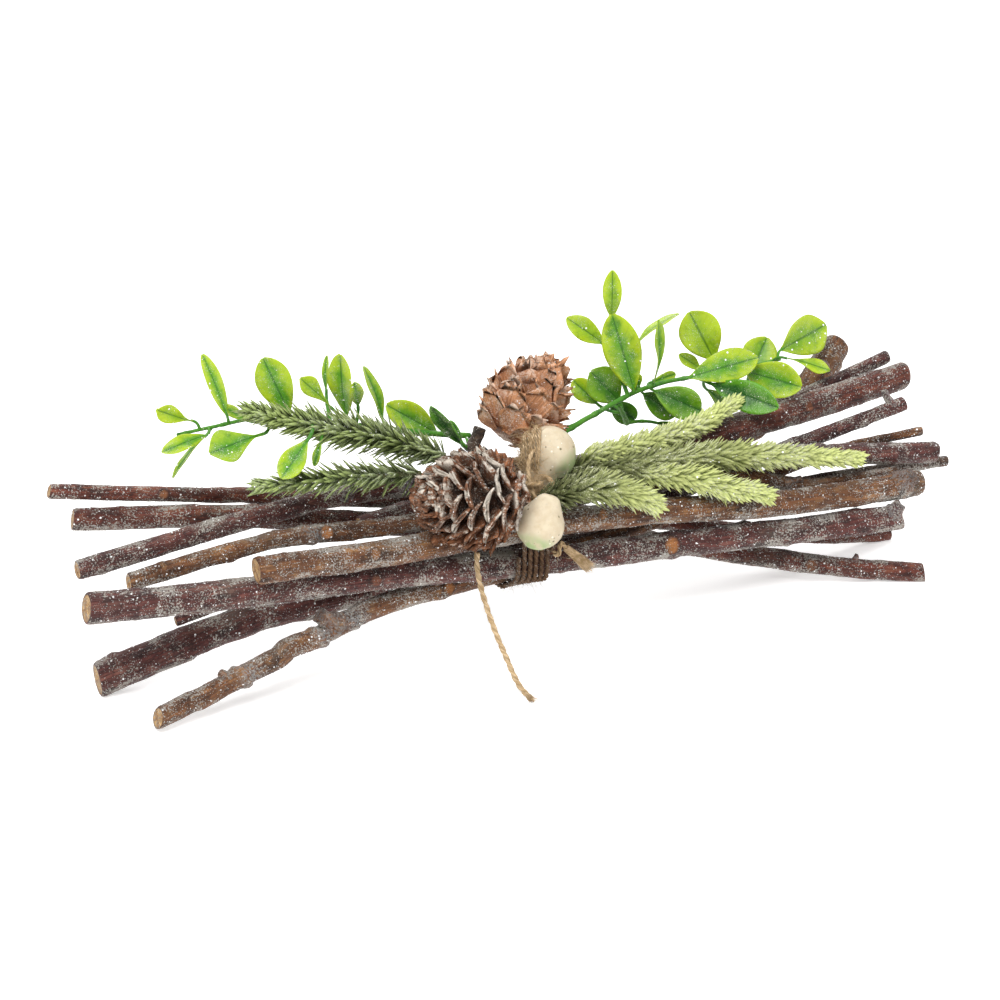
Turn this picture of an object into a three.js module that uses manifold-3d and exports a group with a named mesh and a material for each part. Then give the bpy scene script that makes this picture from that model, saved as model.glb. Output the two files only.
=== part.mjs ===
// A bundle of cut twigs, lying down and tied at the waist with jute twine, with two cones, two
// berries, fir sprigs and boxwood sprigs tied in on top. Lengths are in millimetres, +Z is up, X runs
// along the bundle, and the arrangement is made to be seen from -Y.
import * as THREE from 'three';
import { mergeVertices } from 'three/addons/utils/BufferGeometryUtils.js';
import Module from 'manifold-3d';

const wasm = await Module();
wasm.setup();

// The gap that touching pieces keep, and the direction that most leaves face.
const GAP = 0.3;
const UP = new THREE.Vector3(0, 0, 1);
const FRONT = new THREE.Vector3(-0.37, -0.84, 0.39);

// The routes below are laid out around the tie; this moves the finished bundle so that the origin is
// under the middle of it, on the surface that it lies on.
const TO_ORIGIN = new THREE.Vector3(-10, -3.2, 0);

// Twigs: sides and steps of each rod, how the steps crowd towards its ends, and the rounds of the
// settling that keeps the rods apart.
const TWIG_SIDES = 8;
const TWIG_STEPS = 16;
const END_CROWDING = 0.5;
const TWIG_CLEARANCE = 0.6;
const SETTLING_ROUNDS = 500;
const STIFF_ROUNDS = 350;
const STIFFNESS = 0.25;

// How much of a resting end is worn flat where it lies on the surface.
const REST_TRIM = 0.7;

// Each twig has the points that its middle passes, from its left end to its right end, and its half
// thickness at the left end, at the tie and at the right end. `rests` names the end that lies on the
// surface. A stub is what is left of a side branch: the share of the twig's length where it grows,
// its direction, its length and its half thickness.
const TWIGS = [
  {
    name: 'twig_01', rests: 'right', half: [2.4, 2.8, 2.5],
    route: [[-135, 30, 58], [-76, 22, 49], [3, 14, 36], [45, 14, 25], [75, 12, 17], [122, 10, 6],
      [146, 13, 2.3]],
    stubs: [{ at: 0.27, to: [0.2, -0.5, 1], long: 4.2, half: 1.3 }],
  },
  {
    name: 'twig_02', rests: 'right', half: [3.8, 3.7, 3.2],
    route: [[-129, 27, 49], [-75, 17, 45], [3, 12.5, 28], [40, 9, 21], [67, 2, 16], [83, -2, 12],
      [118, -13, 5], [140, -21, 3]],
    stubs: [{ at: 0.915, to: [0.4, -0.9, 0.5], long: 4.8, half: 1.5 }],
  },
  {
    name: 'twig_03', half: [3.3, 3.3, 3.8],
    route: [[-135, 5, 42], [-63, 7, 48], [-47, 6, 49], [3, 3, 47], [109, -5, 39], [151, -5, 35]],
    stubs: [{ at: 0.3, to: [0.7, -0.4, 1], long: 5, half: 1.9 }],
  },
  {
    name: 'twig_04', half: [3, 3, 1.8],
    route: [[-121, 0, 38], [-66, -1, 45], [-44, -2, 43], [3, -6, 45], [55, -2, 42], [82, -3, 41],
      [96, -8, 36], [136, -9, 35]],
    stubs: [
      { at: 0.235, to: [-0.2, 0, 1], long: 4, half: 1.5 },
      { at: 0.845, to: [0.9, -0.6, 0.4], long: 4.4, half: 1 },
    ],
  },
  {
    name: 'twig_05', half: [5.1, 4.6, 4.4],
    route: [[-138, -12, 37.5], [-87, -13, 35], [-47, -14, 34], [3, -14, 30], [54, -13, 27.5], [80, -14, 27],
      [131, -18, 26]],
    stubs: [{ at: 0.7, to: [-0.2, -0.5, 0.9], long: 6.2, half: 2.2 }],
  },
  {
    name: 'twig_06', half: [4.5, 4.3, 4.5],
    route: [[-88, -20, 44], [-41, -18, 41], [3, -14, 39.5], [41, -14, 38], [62, -13, 35], [91, -13, 32],
      [140, -14, 32]],
    stubs: [{ at: 0.93, to: [0.3, -0.5, 1], long: 6, half: 2.1 }],
  },
  {
    name: 'twig_07', rests: 'left', half: [5.7, 4.2, 2.3],
    route: [[-130, 6, 5], [-100, 4, 13.5], [-81, 3, 18], [-40, 2, 21], [3, 3, 23], [60, 4, 34],
      [113, 5, 44], [145, 4, 51]],
    stubs: [{ at: 0.985, to: [-0.5, 0.1, 1], long: 7, half: 1.1 }],
  },
  {
    name: 'twig_08', rests: 'left', half: [3.4, 3.5, 1.4],
    route: [[-121, -25, 3], [-103, -22, 8.5], [-74, -18, 15.5], [-44, -14, 23], [3, -7, 23], [60, -5, 31],
      [123, 0, 41], [148, -3, 43]],
    stubs: [
      { at: 0.075, to: [-0.8, -0.1, 1], long: 6.5, half: 1.7 },
      { at: 0.23, to: [-0.7, -0.2, 1], long: 7, half: 1.7 },
    ],
  },
  {
    name: 'twig_09', half: [1.8, 2.1, 2.4],
    route: [[-105, 5, 19], [-81, 4, 25], [-58, 3, 29], [3, 6, 34], [30, 13, 39.5], [60, 17, 43.5],
      [115, 22, 51], [150, 25, 59]],
    stubs: [],
  },
  {
    name: 'twig_10', half: [2.1, 3, 4.3],
    route: [[-64, -4, 25], [-36, -4, 28], [3, 1, 36], [60, 14, 38], [100, 25, 42], [126, 35, 48],
      [141, 45, 58]],
    stubs: [{ at: 0.95, to: [-0.3, -1, 0.4], long: 5.4, half: 1.8 }],
  },
  {
    name: 'twig_11', half: [3.8, 4.4, 4.9],
    route: [[-45, 5, 40], [3, 9, 43], [70, 10, 47], [111, 14, 50], [152, 17, 55]],
    stubs: [],
  },
  {
    name: 'twig_12', half: [1.8, 1.9, 1.9],
    route: [[-22, 1, 31], [3, 0, 30], [60, -4, 36.5], [110, -2, 35], [158, -2, 31]],
    stubs: [],
  },
];

// Twine: its half thickness, its turns round the waist and the step from turn to turn.
const TWINE_HALF = 0.8;
const WRAP_TURNS = 6;
const WRAP_PITCH = 2 * TWINE_HALF + 0.35;
const WRAP_SLACK = 0.45;
const WRAP_START_X = -3;
const WRAP_STEPS_PER_TURN = 16;
const WRAP_MIDDLE = [0, 33];
const OUTLINE_STEPS = 24;
const WRAP_END = [[11.5, -20, 35], [14.5, -21.2, 31], [19, -22, 26.5]];

// The long loose end leaves the front of the bundle under the front cone, hangs down and lies on the
// surface for its last stretch.
const TAIL_HALF = 0.9;
const TAIL_STEPS = 16;
const TAIL_ROUTE = [
  [-17.5, -22.4, 38], [-17.8, -22.8, 35], [-17.8, -23.5, 32], [-17.6, -24.4, 29], [-17.3, -25.7, 26],
  [-16.9, -27.2, 23], [-16.5, -28.9, 20], [-16, -30.8, 17], [-15.5, -32.9, 14], [-14.9, -35.2, 11],
  [-14.3, -37.7, 8], [-13.8, -40.3, 5], [-13.4, -43, 2.8], [-13, -46, 1.5], [-12.6, -49.2, 1],
  [-12.3, -52.5, 0.95],
];

// The lump of the knot, above the waist between the berries.
const KNOT = { centre: [4.5, -17.5, 54], half: [5.5, 3.2, 4] };

// Cones: length, half thickness, middle and the way that the tip points. The rows of scales draw in
// to `CONE_RIPPLE` of the half thickness between them.
const CONES = [
  {
    name: 'cone_front', long: 36, half: 15.8, centre: [-24.8, -28, 59.9], towards: [-0.94, -0.22, 0.26],
    color: 0x5c4a42,
  },
  {
    name: 'cone_top', long: 31, half: 14.5, centre: [19.5, 17.5, 71.5], towards: [0.72, 0.35, 0.6],
    color: 0xb27348,
  },
];
const CONE_ROWS = 7;
const CONE_SIDES = 16;
const CONE_RIPPLE = 0.86;
const CONE_STALK = { route: [[-6, 10, 57], [-3.5, 11, 59.5], [-1.5, 11.5, 63]], half: 2 };

// Berries: middle, half thickness and the way that the neck points, with the neck's own size.
const BERRIES = [
  { name: 'berry_upper', centre: [12.2, -9, 60.4], half: 8.3, neck: [-0.6, -0.3, -0.75] },
  { name: 'berry_lower', centre: [0.4, -29, 46.8], half: 7.4, neck: [0.4, 0.1, 0.9] },
];
const BERRY_STEPS = 9;
const BERRY_SIDES = 14;
const NECK = { half: 1.4, rise: 1.2, crown: 1.4 };

// Fir branches: the points that the branch passes from its foot to its tip, and how far its needles
// reach from it at the foot, in the middle and at the tip.
const FIR = [
  {
    name: 'fir_left_main', reach: [5, 8, 3],
    route: [[-17, 2, 60], [-40, 6, 69], [-62, 8, 76.5], [-81, 8, 84]],
  },
  {
    name: 'fir_left_lower', reach: [3.2, 4.4, 2.2],
    route: [[-28, -5, 59], [-46, -5, 61], [-67, -4, 62.5], [-83, -4, 63.5]],
  },
  {
    name: 'fir_right_main', reach: [5, 7.5, 2.5],
    route: [[26, -13, 54.5], [46, -11, 52], [72, -10, 50], [101, -11, 45], [127, -13, 40.5]],
  },
  { name: 'fir_right_upper', reach: [3, 4.4, 2.4], route: [[66, -1, 56], [76, 5, 57.5], [87, 10, 59]] },
  { name: 'fir_right_lower', reach: [3.5, 5, 2.8], route: [[69, -21.5, 45.5], [78, -23, 41], [88, -24, 36]] },
  {
    name: 'fir_right_tuft', reach: [4.5, 6.5, 3.5],
    route: [[15, -23, 54], [27, -25, 52.5], [38, -26, 46], [45, -26, 41]],
  },
];
const FIR_SIDES = 8;
const FIR_STEPS = 7;
const FIR_WIDEST_AT = 0.45;

// Boxwood stems, and the leaves: foot, tip, full width and the turn about the leaf's length, in
// degrees away from facing the front.
const STEM_HALF = 0.8;
const STEMS = [
  {
    name: 'box_stem_left',
    route: [[5, 17, 57.5], [-12, 15.5, 61.5], [-27, 15, 65.5], [-50, 16, 71.5], [-78, 13, 78], [-90, 11, 78],
      [-101, 9, 80.5]],
  },
  {
    name: 'box_stem_right',
    route: [[22, 2, 61], [34, 11, 60.5], [47, 17, 62], [61, 22, 63.5], [78, 26, 62.5], [98, 30, 60.5],
      [114, 31, 62.5]],
  },
  { name: 'box_stem_right_side', route: [[49.5, 19.5, 60], [53, 23, 55], [56, 26, 50]] },
];
const LEAF_THICKNESS = 0.9;
const LEAF_STEPS = 6;
const LEAF_FOLD = 0.16;
const LEAF_ARCH = 0.08;
const LEAF_END = 0.12;
const LEAVES = {
  left: [
    { foot: [-84, 12, 81], tip: [-90, 16, 100], wide: 5.1, turn: 20 },
    { foot: [-95, 10, 81.5], tip: [-109, 4, 90], wide: 6, turn: -15 },
    { foot: [-92, 8, 77], tip: [-107, 5, 75], wide: 5.3, turn: 20 },
    { foot: [-90, 12, 75.5], tip: [-100, 14, 62], wide: 5.2, turn: 70 },
    { foot: [-74, 8, 74.5], tip: [-94, 0, 74.5], wide: 11, turn: 10 },
    { foot: [-62, 17, 76], tip: [-69, 20, 94], wide: 11, turn: 0 },
    { foot: [-47, 20, 74], tip: [-56, 24, 84], wide: 6.3, turn: 20 },
    { foot: [-43, 17.5, 72.5], tip: [-46, 14, 94], wide: 9.2, turn: -35 },
    { foot: [-32, 17, 69], tip: [-38, 18, 87], wide: 5.8, turn: 55 },
    { foot: [-41, 14, 76.5], tip: [-44, 9, 86], wide: 4.6, turn: 15 },
    { foot: [-63, -0.5, 74], tip: [-75, -9, 66.5], wide: 7.8, turn: 0 },
    { foot: [-13, 18.5, 60.5], tip: [-30, 19, 73], wide: 9.7, turn: 10 },
    { foot: [-7, 10, 59], tip: [-19, 9, 75], wide: 5.3, turn: -35 },
  ],
  right: [
    { foot: [50, 26, 87], tip: [51, 28, 102], wide: 6.2, turn: 0 },
    { foot: [54, 18, 65], tip: [48, 22, 90], wide: 12.3, turn: 0 },
    { foot: [48, 28, 78], tip: [38, 34, 86], wide: 7.5, turn: 10 },
    { foot: [52, 24, 59], tip: [43, 26, 70], wide: 12.1, turn: 10 },
    { foot: [46, 28, 58], tip: [40, 33, 65], wide: 7.2, turn: 0 },
    { foot: [61, 19, 65.5], tip: [58, 12, 90], wide: 6.9, turn: 60 },
    { foot: [60, 28, 76], tip: [76, 31, 83], wide: 5.2, turn: -60 },
    { foot: [89, 31, 65], tip: [82, 35, 81], wide: 13.8, turn: 0 },
    { foot: [75, 21, 64.5], tip: [99, 20, 68], wide: 10.9, turn: -10 },
    { foot: [105, 36, 55], tip: [113, 40, 66], wide: 12, turn: 0 },
    { foot: [115, 34, 63.5], tip: [133, 38, 68], wide: 13.3, turn: 10 },
    { foot: [113, 28, 63], tip: [125, 19, 60], wide: 5.2, turn: -20 },
    { foot: [98, 26, 61.5], tip: [109, 8, 60.5], wide: 12.1, turn: 0 },
    { foot: [83, 20, 61.5], tip: [97.5, 2, 57.5], wide: 10.3, turn: 0 },
    { foot: [63, 21, 62], tip: [76, 14.5, 55.5], wide: 10.6, turn: 0 },
    { foot: [61, 25, 60], tip: [72, 24, 51], wide: 8, turn: 0 },
    { foot: [51, 29, 57], tip: [60, 29, 50], wide: 7.4, turn: 10 },
  ],
};

const BARK = { color: 0x5b4038, roughness: 0.85, metalness: 0 };
const JUTE = { color: 0xc8a573, roughness: 0.95, metalness: 0 };
const BERRY = { color: 0xded0b0, roughness: 0.45, metalness: 0 };
const FIR_GREEN = { color: 0x9db46a, roughness: 0.75, metalness: 0 };
const STEM_GREEN = { color: 0x3f8a3a, roughness: 0.6, metalness: 0 };
const LEAF_GREEN = { color: 0x78aa2c, roughness: 0.55, metalness: 0 };

const vector = (place) => new THREE.Vector3(...place);
const curveThrough = (route) => new THREE.CatmullRomCurve3(route.map(vector), false, 'centripetal');

// A value that passes through three given ones, at the start, the middle share and the end.
function through([start, middle, end], share, at = 0.5) {
  return share < at
    ? THREE.MathUtils.lerp(start, middle, share / at)
    : THREE.MathUtils.lerp(middle, end, (share - at) / (1 - at));
}

// A closed rod bent along a curve. `section` turns a point of the unit circle at a share of the length
// into a distance across and a height towards `up`.
function sweep(curve, sides, steps, section, up = UP) {
  const rod = new THREE.CylinderGeometry(1, 1, 1, sides, steps);
  if (sides > 4) rod.rotateY(Math.PI / sides);
  const place = rod.attributes.position;
  const across = new THREE.Vector3();
  const height = new THREE.Vector3();
  for (let i = 0; i < place.count; i += 1) {
    const share = THREE.MathUtils.clamp(place.getY(i) + 0.5, 0, 1);
    const along = curve.getTangent(share);
    across.crossVectors(along, up).normalize();
    height.crossVectors(across, along);
    const [wide, high] = section(share, place.getX(i), place.getZ(i));
    const point = curve.getPoint(share).addScaledVector(across, wide).addScaledVector(height, high);
    place.setXYZ(i, point.x, point.y, point.z);
  }
  return welded(rod);
}

// The same surface with its shared corners merged and only its places left.
function welded(geometry) {
  const bare = geometry.clone();
  bare.deleteAttribute('normal');
  bare.deleteAttribute('uv');
  return mergeVertices(bare, 1e-3);
}

function solidOf(geometry) {
  const bare = welded(geometry);
  return new wasm.Manifold(new wasm.Mesh({
    numProp: 3,
    vertProperties: new Float32Array(bare.attributes.position.array),
    triVerts: new Uint32Array(bare.index.array),
  }));
}

function geometryOf(solid) {
  const mesh = solid.getMesh();
  const geometry = new THREE.BufferGeometry();
  geometry.setAttribute('position', new THREE.BufferAttribute(new Float32Array(mesh.vertProperties), 3));
  geometry.setIndex(new THREE.BufferAttribute(new Uint32Array(mesh.triVerts), 1));
  return geometry;
}

// The largest piece that is left of a shape when the blockers are cut away from it.
function clearOf(geometry, blockers) {
  let solid = solidOf(geometry);
  for (const blocker of blockers) solid = solid.subtract(blocker);
  const parts = solid.decompose().sort((one, other) => other.volume() - one.volume());
  return geometryOf(parts[0]);
}

// ---- Twigs ----

function twigHalf(twig, x) {
  const left = twig.route[0][0];
  const right = twig.route.at(-1)[0];
  const tie = THREE.MathUtils.clamp((WRAP_START_X - left) / (right - left), 0.2, 0.8);
  return through(twig.half, (x - left) / (right - left), tie);
}

// The stations of a twig before settling, crowded towards its ends.
function stationsOf(twig) {
  const curve = curveThrough(twig.route);
  const places = [];
  for (let step = 0; step <= TWIG_STEPS; step += 1) {
    const share = step / TWIG_STEPS;
    const eased = 0.5 - 0.5 * Math.cos(Math.PI * share);
    places.push(curve.getPointAt(THREE.MathUtils.lerp(share, eased, END_CROWDING)));
  }
  return places;
}

// Where a twig is at a given x, between its stations.
function twigAt(twig, x) {
  const next = twig.places.findIndex((place) => place.x > x);
  if (next < 1) return null;
  const low = twig.places[next - 1];
  const high = twig.places[next];
  const share = (x - low.x) / (high.x - low.x);
  const { y, z } = low.clone().lerp(high, share);
  return { low, high, share, y, z };
}

// A slanting rod is wider in a cut across X than it is thick.
function slantedHalf(twig, x) {
  const here = twigAt(twig, x);
  if (!here) return twigHalf(twig, x);
  const run = here.high.x - here.low.x;
  const side = Math.hypot(here.high.y - here.low.y, here.high.z - here.low.z);
  return twigHalf(twig, x) * Math.hypot(1, side / run);
}

function pushApart(one, other) {
  for (const place of one.places) {
    const near = twigAt(other, place.x);
    if (!near) continue;
    const away = new THREE.Vector2(place.y - near.y, place.z - near.z);
    const lack = slantedHalf(one, place.x) + slantedHalf(other, place.x) + TWIG_CLEARANCE - away.length();
    if (lack <= 0) continue;
    away.setLength(lack / 2);
    place.y += away.x;
    place.z += away.y;
    for (const [end, weight] of [[near.low, 1 - near.share], [near.high, near.share]]) {
      end.y -= away.x * weight;
      end.z -= away.y * weight;
    }
  }
}

// Spreads what the pushes moved along the twig, so that it bends like a stiff rod and has no kinks.
function stiffen(twig) {
  const moved = twig.places.map((place, i) => place.clone().sub(twig.start[i]));
  for (let i = 1; i < moved.length - 1; i += 1) {
    const mean = moved[i - 1].clone().add(moved[i + 1]).multiplyScalar(0.5);
    twig.places[i].copy(twig.start[i]).add(moved[i].clone().lerp(mean, STIFFNESS));
  }
}

// No twig goes below the surface, apart from the resting ends, which are trimmed flat there.
function layOnSurface(twig) {
  const flat = Math.cos(Math.PI / TWIG_SIDES);
  const count = twig.places.length;
  twig.places.forEach((place, i) => {
    const floor = twigHalf(twig, place.x) * flat;
    const resting = i === (twig.rests === 'left' ? 0 : count - 1) && twig.rests;
    place.z = resting ? floor - REST_TRIM : Math.max(place.z, floor);
  });
}

function settle(twigs) {
  for (const twig of twigs) {
    twig.start = stationsOf(twig);
    twig.places = twig.start.map((place) => place.clone());
  }
  for (let round = 0; round < SETTLING_ROUNDS; round += 1) {
    for (const one of twigs) {
      for (const other of twigs) {
        if (one !== other) pushApart(one, other);
      }
    }
    if (round < STIFF_ROUNDS) twigs.forEach(stiffen);
    twigs.forEach(layOnSurface);
  }
}

function twigRod(twig, extra = 0) {
  const curve = new THREE.CatmullRomCurve3(twig.places, false, 'catmullrom', 0);
  const section = (share, x, z) => {
    const half = twigHalf(twig, curve.getPoint(share).x) + extra;
    return [x * half, z * half];
  };
  return sweep(curve, TWIG_SIDES, TWIG_STEPS, section);
}

function stubRod(twig, stub) {
  const curve = new THREE.CatmullRomCurve3(twig.places, false, 'catmullrom', 0);
  const foot = curve.getPoint(stub.at);
  const reach = stub.long + twigHalf(twig, foot.x) * 0.2;
  const tip = foot.clone().addScaledVector(vector(stub.to).normalize(), reach);
  const line = new THREE.LineCurve3(foot, tip);
  return sweep(line, 6, 1, (share, x, z) => [x * stub.half, z * stub.half], new THREE.Vector3(0, 1, 0));
}

const belowSurface = solidOf(new THREE.BoxGeometry(600, 600, 20).translate(0, 0, -10));

function twigGeometry(twig) {
  let solid = solidOf(twigRod(twig));
  for (const stub of twig.stubs) solid = solid.add(solidOf(stubRod(twig, stub)));
  if (twig.rests) solid = solid.subtract(belowSurface);
  return geometryOf(solid);
}

// ---- Twine ----

// The outline round all twigs at one place along the bundle, as the twine would lie on it.
function waistOutline(twigs, x) {
  const points = [];
  const reach = TWINE_HALF + GAP + WRAP_SLACK;
  for (const twig of twigs) {
    const here = twigAt(twig, x);
    const half = slantedHalf(twig, x) + reach;
    for (let step = 0; step < OUTLINE_STEPS; step += 1) {
      const angle = (step / OUTLINE_STEPS) * 2 * Math.PI;
      points.push([here.y + half * Math.cos(angle), here.z + half * Math.sin(angle)]);
    }
  }
  return hullOf(points);
}

function hullOf(points) {
  const sorted = points.slice().sort((one, other) => one[0] - other[0] || one[1] - other[1]);
  const turn = (a, b, c) => (b[0] - a[0]) * (c[1] - a[1]) - (b[1] - a[1]) * (c[0] - a[0]);
  const half = (list) => {
    const chain = [];
    for (const point of list) {
      while (chain.length > 1 && turn(chain.at(-2), chain.at(-1), point) <= 0) chain.pop();
      chain.push(point);
    }
    return chain.slice(0, -1);
  };
  return [...half(sorted), ...half(sorted.slice().reverse())];
}

// The distance from the middle of an outline to its edge in one direction.
function outlineReach(outline, [y, z], angle) {
  const way = [Math.cos(angle), Math.sin(angle)];
  let reach = 0;
  outline.forEach((from, i) => {
    const to = outline[(i + 1) % outline.length];
    const edge = [to[0] - from[0], to[1] - from[1]];
    const cross = way[0] * edge[1] - way[1] * edge[0];
    const share = ((from[0] - y) * way[1] - (from[1] - z) * way[0]) / cross;
    const distance = ((from[0] - y) * edge[1] - (from[1] - z) * edge[0]) / cross;
    if (share >= -1e-6 && share <= 1 + 1e-6 && distance > reach) reach = distance;
  });
  return reach;
}

// The twine winds round the outline from left to right, and its short end leaves the front.
function wrapRoute(twigs) {
  const outlines = [];
  const wrapEndX = WRAP_START_X + WRAP_TURNS * WRAP_PITCH;
  for (let x = WRAP_START_X - WRAP_PITCH; x <= wrapEndX + WRAP_PITCH; x += WRAP_PITCH) {
    outlines.push(...waistOutline(twigs, x));
  }
  const outline = hullOf(outlines);
  const route = [];
  const steps = WRAP_TURNS * WRAP_STEPS_PER_TURN;
  const stepAngle = (2 * Math.PI) / WRAP_STEPS_PER_TURN;
  for (let step = 0; step <= steps; step += 1) {
    const turn = step / WRAP_STEPS_PER_TURN;
    const angle = Math.PI + turn * 2 * Math.PI;
    const nearby = [-0.5, 0, 0.5].map((part) => outlineReach(outline, WRAP_MIDDLE, angle + part * stepAngle));
    const reach = Math.max(...nearby);
    const x = WRAP_START_X + turn * WRAP_PITCH;
    route.push([x, WRAP_MIDDLE[0] + reach * Math.cos(angle), WRAP_MIDDLE[1] + reach * Math.sin(angle)]);
  }
  return [...route, ...WRAP_END];
}

function twine(route, half, sides, steps) {
  const section = new THREE.Shape();
  for (let i = 0; i < sides; i += 1) {
    const angle = (i / sides) * 2 * Math.PI;
    const point = [half * Math.cos(angle), half * Math.sin(angle)];
    if (i === 0) section.moveTo(...point);
    else section.lineTo(...point);
  }
  section.closePath();
  const along = { steps, bevelEnabled: false, extrudePath: curveThrough(route) };
  return welded(new THREE.ExtrudeGeometry(section, along));
}

function knotGeometry() {
  const lump = new THREE.SphereGeometry(1, 10, 7);
  lump.scale(...KNOT.half);
  lump.translate(...KNOT.centre);
  return lump;
}

// ---- Cones and berries ----

// A shape turned from a profile, with its middle at a place and its top towards a direction.
function turned(profile, sides, centre, towards) {
  const shape = new THREE.LatheGeometry(profile, sides);
  const top = new THREE.Vector3(0, 1, 0);
  shape.applyQuaternion(new THREE.Quaternion().setFromUnitVectors(top, vector(towards).normalize()));
  shape.translate(...centre);
  return shape;
}

// Rows that swell and draw in like overlapping scales.
function coneGeometry(cone) {
  const profile = [];
  const points = CONE_ROWS * 2;
  for (let i = 0; i <= points; i += 1) {
    const share = i / points;
    const body = Math.sin(Math.PI * Math.min(1, 0.16 + 0.84 * share) ** 0.8) ** 0.7;
    const ripple = i % 2 === 0 ? 1 : CONE_RIPPLE;
    const half = i === 0 || i === points ? 0 : cone.half * body * ripple;
    profile.push(new THREE.Vector2(half, (share - 0.5) * cone.long));
  }
  return turned(profile, CONE_SIDES, cone.centre, cone.towards);
}

function stalkGeometry() {
  const section = (share, x, z) => [x * CONE_STALK.half, z * CONE_STALK.half];
  return sweep(curveThrough(CONE_STALK.route), 8, 2, section, new THREE.Vector3(0, 1, 0));
}

function berryGeometry(berry) {
  const profile = [new THREE.Vector2(0, -berry.half)];
  for (let step = 1; step < BERRY_STEPS; step += 1) {
    const angle = -Math.PI / 2 + (step / BERRY_STEPS) * Math.PI;
    profile.push(new THREE.Vector2(berry.half * Math.cos(angle), berry.half * Math.sin(angle)));
  }
  profile.push(new THREE.Vector2(NECK.half, berry.half + NECK.rise));
  profile.push(new THREE.Vector2(0, berry.half + NECK.crown));
  return turned(profile, BERRY_SIDES, berry.centre, berry.neck);
}

// ---- Greenery ----

function firGeometry(branch) {
  const section = (share, x, z) => {
    const half = through(branch.reach, share, FIR_WIDEST_AT);
    return [x * half, z * half];
  };
  return sweep(curveThrough(branch.route), FIR_SIDES, FIR_STEPS, section);
}

function stemGeometry(stem) {
  const section = (share, x, z) => {
    const half = STEM_HALF * (1.2 - 0.5 * share);
    return [x * half, z * half];
  };
  return sweep(curveThrough(stem.route), 6, 12, section);
}

// A folded leaf blade, narrow at its foot, widest past its middle and round at its tip.
function leafGeometry(leaf) {
  const foot = vector(leaf.foot);
  const tip = vector(leaf.tip);
  const along = tip.clone().sub(foot).normalize();
  const face = FRONT.clone().addScaledVector(along, -FRONT.dot(along)).normalize();
  face.applyAxisAngle(along, THREE.MathUtils.degToRad(leaf.turn));
  const arch = foot.clone().lerp(tip, 0.5).addScaledVector(face, foot.distanceTo(tip) * LEAF_ARCH);
  const curve = new THREE.QuadraticBezierCurve3(foot, arch, tip);
  const section = (share, x, z) => {
    const half = 0.5 * leaf.wide * Math.max(LEAF_END, Math.sin(Math.PI * share ** 1.4) ** 0.75 || 0);
    return [x * half, z * LEAF_THICKNESS * 0.5 - LEAF_FOLD * half * (1 - Math.abs(x))];
  };
  return sweep(curve, 4, LEAF_STEPS, section, face);
}

// ---- The whole bundle ----

const bundle = new THREE.Group();
bundle.position.copy(TO_ORIGIN);

function add(name, geometry, finish) {
  const mesh = new THREE.Mesh(geometry, new THREE.MeshStandardMaterial(finish));
  mesh.name = name;
  bundle.add(mesh);
  return geometry;
}

settle(TWIGS);
for (const twig of TWIGS) add(twig.name, twigGeometry(twig), BARK);
const keptClear = TWIGS.map((twig) => solidOf(twigRod(twig, GAP + 0.15)));

const wrap = wrapRoute(TWIGS);
add('twine_wrap', twine(wrap, TWINE_HALF, 6, wrap.length - 1), JUTE);
add('twine_knot', knotGeometry(), JUTE);
add('twine_tail_long', twine(TAIL_ROUTE, TAIL_HALF, 8, TAIL_STEPS), JUTE);

for (const cone of CONES) add(cone.name, coneGeometry(cone), { ...BARK, color: cone.color });
add('cone_stalk', stalkGeometry(), BARK);
for (const berry of BERRIES) add(berry.name, berryGeometry(berry), BERRY);

for (const branch of FIR) add(branch.name, clearOf(firGeometry(branch), keptClear), FIR_GREEN);
for (const stem of STEMS) add(stem.name, stemGeometry(stem), STEM_GREEN);
for (const [side, leaves] of Object.entries(LEAVES)) {
  leaves.forEach((leaf, i) => {
    add(`box_leaf_${side}_${String(i + 1).padStart(2, '0')}`, leafGeometry(leaf), LEAF_GREEN);
  });
}

export default bundle;
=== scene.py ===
"""A bundle of cut twigs tied with jute twine, with cones, berries, fir and boxwood, lightly frosted."""
import logging
import math
from dataclasses import dataclass, field
from enum import Enum

import bpy
import numpy as np
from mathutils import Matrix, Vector


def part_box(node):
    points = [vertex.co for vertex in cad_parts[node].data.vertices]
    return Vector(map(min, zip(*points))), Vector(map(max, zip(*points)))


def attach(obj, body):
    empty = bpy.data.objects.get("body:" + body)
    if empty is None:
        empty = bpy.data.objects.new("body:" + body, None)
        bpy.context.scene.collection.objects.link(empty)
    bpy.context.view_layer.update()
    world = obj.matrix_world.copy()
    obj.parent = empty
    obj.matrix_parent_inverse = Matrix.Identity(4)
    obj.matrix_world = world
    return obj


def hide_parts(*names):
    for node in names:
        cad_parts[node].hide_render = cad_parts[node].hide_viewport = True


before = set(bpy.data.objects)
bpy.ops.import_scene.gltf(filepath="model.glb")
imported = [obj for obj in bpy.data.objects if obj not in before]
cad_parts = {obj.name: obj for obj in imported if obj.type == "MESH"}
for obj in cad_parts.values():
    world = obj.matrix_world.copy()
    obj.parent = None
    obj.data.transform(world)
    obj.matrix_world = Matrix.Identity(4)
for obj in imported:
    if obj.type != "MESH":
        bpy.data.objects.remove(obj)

Array = np.ndarray
Colour = tuple[float, float, float]
Point = tuple[float, float, float]

# Shapes are worked out in millimetres and become metres when a piece is made.
MM = 0.001
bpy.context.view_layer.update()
# Routes that are laid out around the tie move by this much to stand in the frame.
TO_ORIGIN = np.array([-10.0, -3.2, 0.0])
UP = np.array([0.0, 0.0, 1.0])
TOWARDS_FRONT = np.array([-0.374, -0.841, 0.391])
# For fibres that lean nowhere in particular.
NO_PULL = np.zeros(3)
# The lowest that any surface comes to the ground.
LOWEST = 0.05
GOLDEN_TURN = math.pi * (3 - math.sqrt(5))

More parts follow.
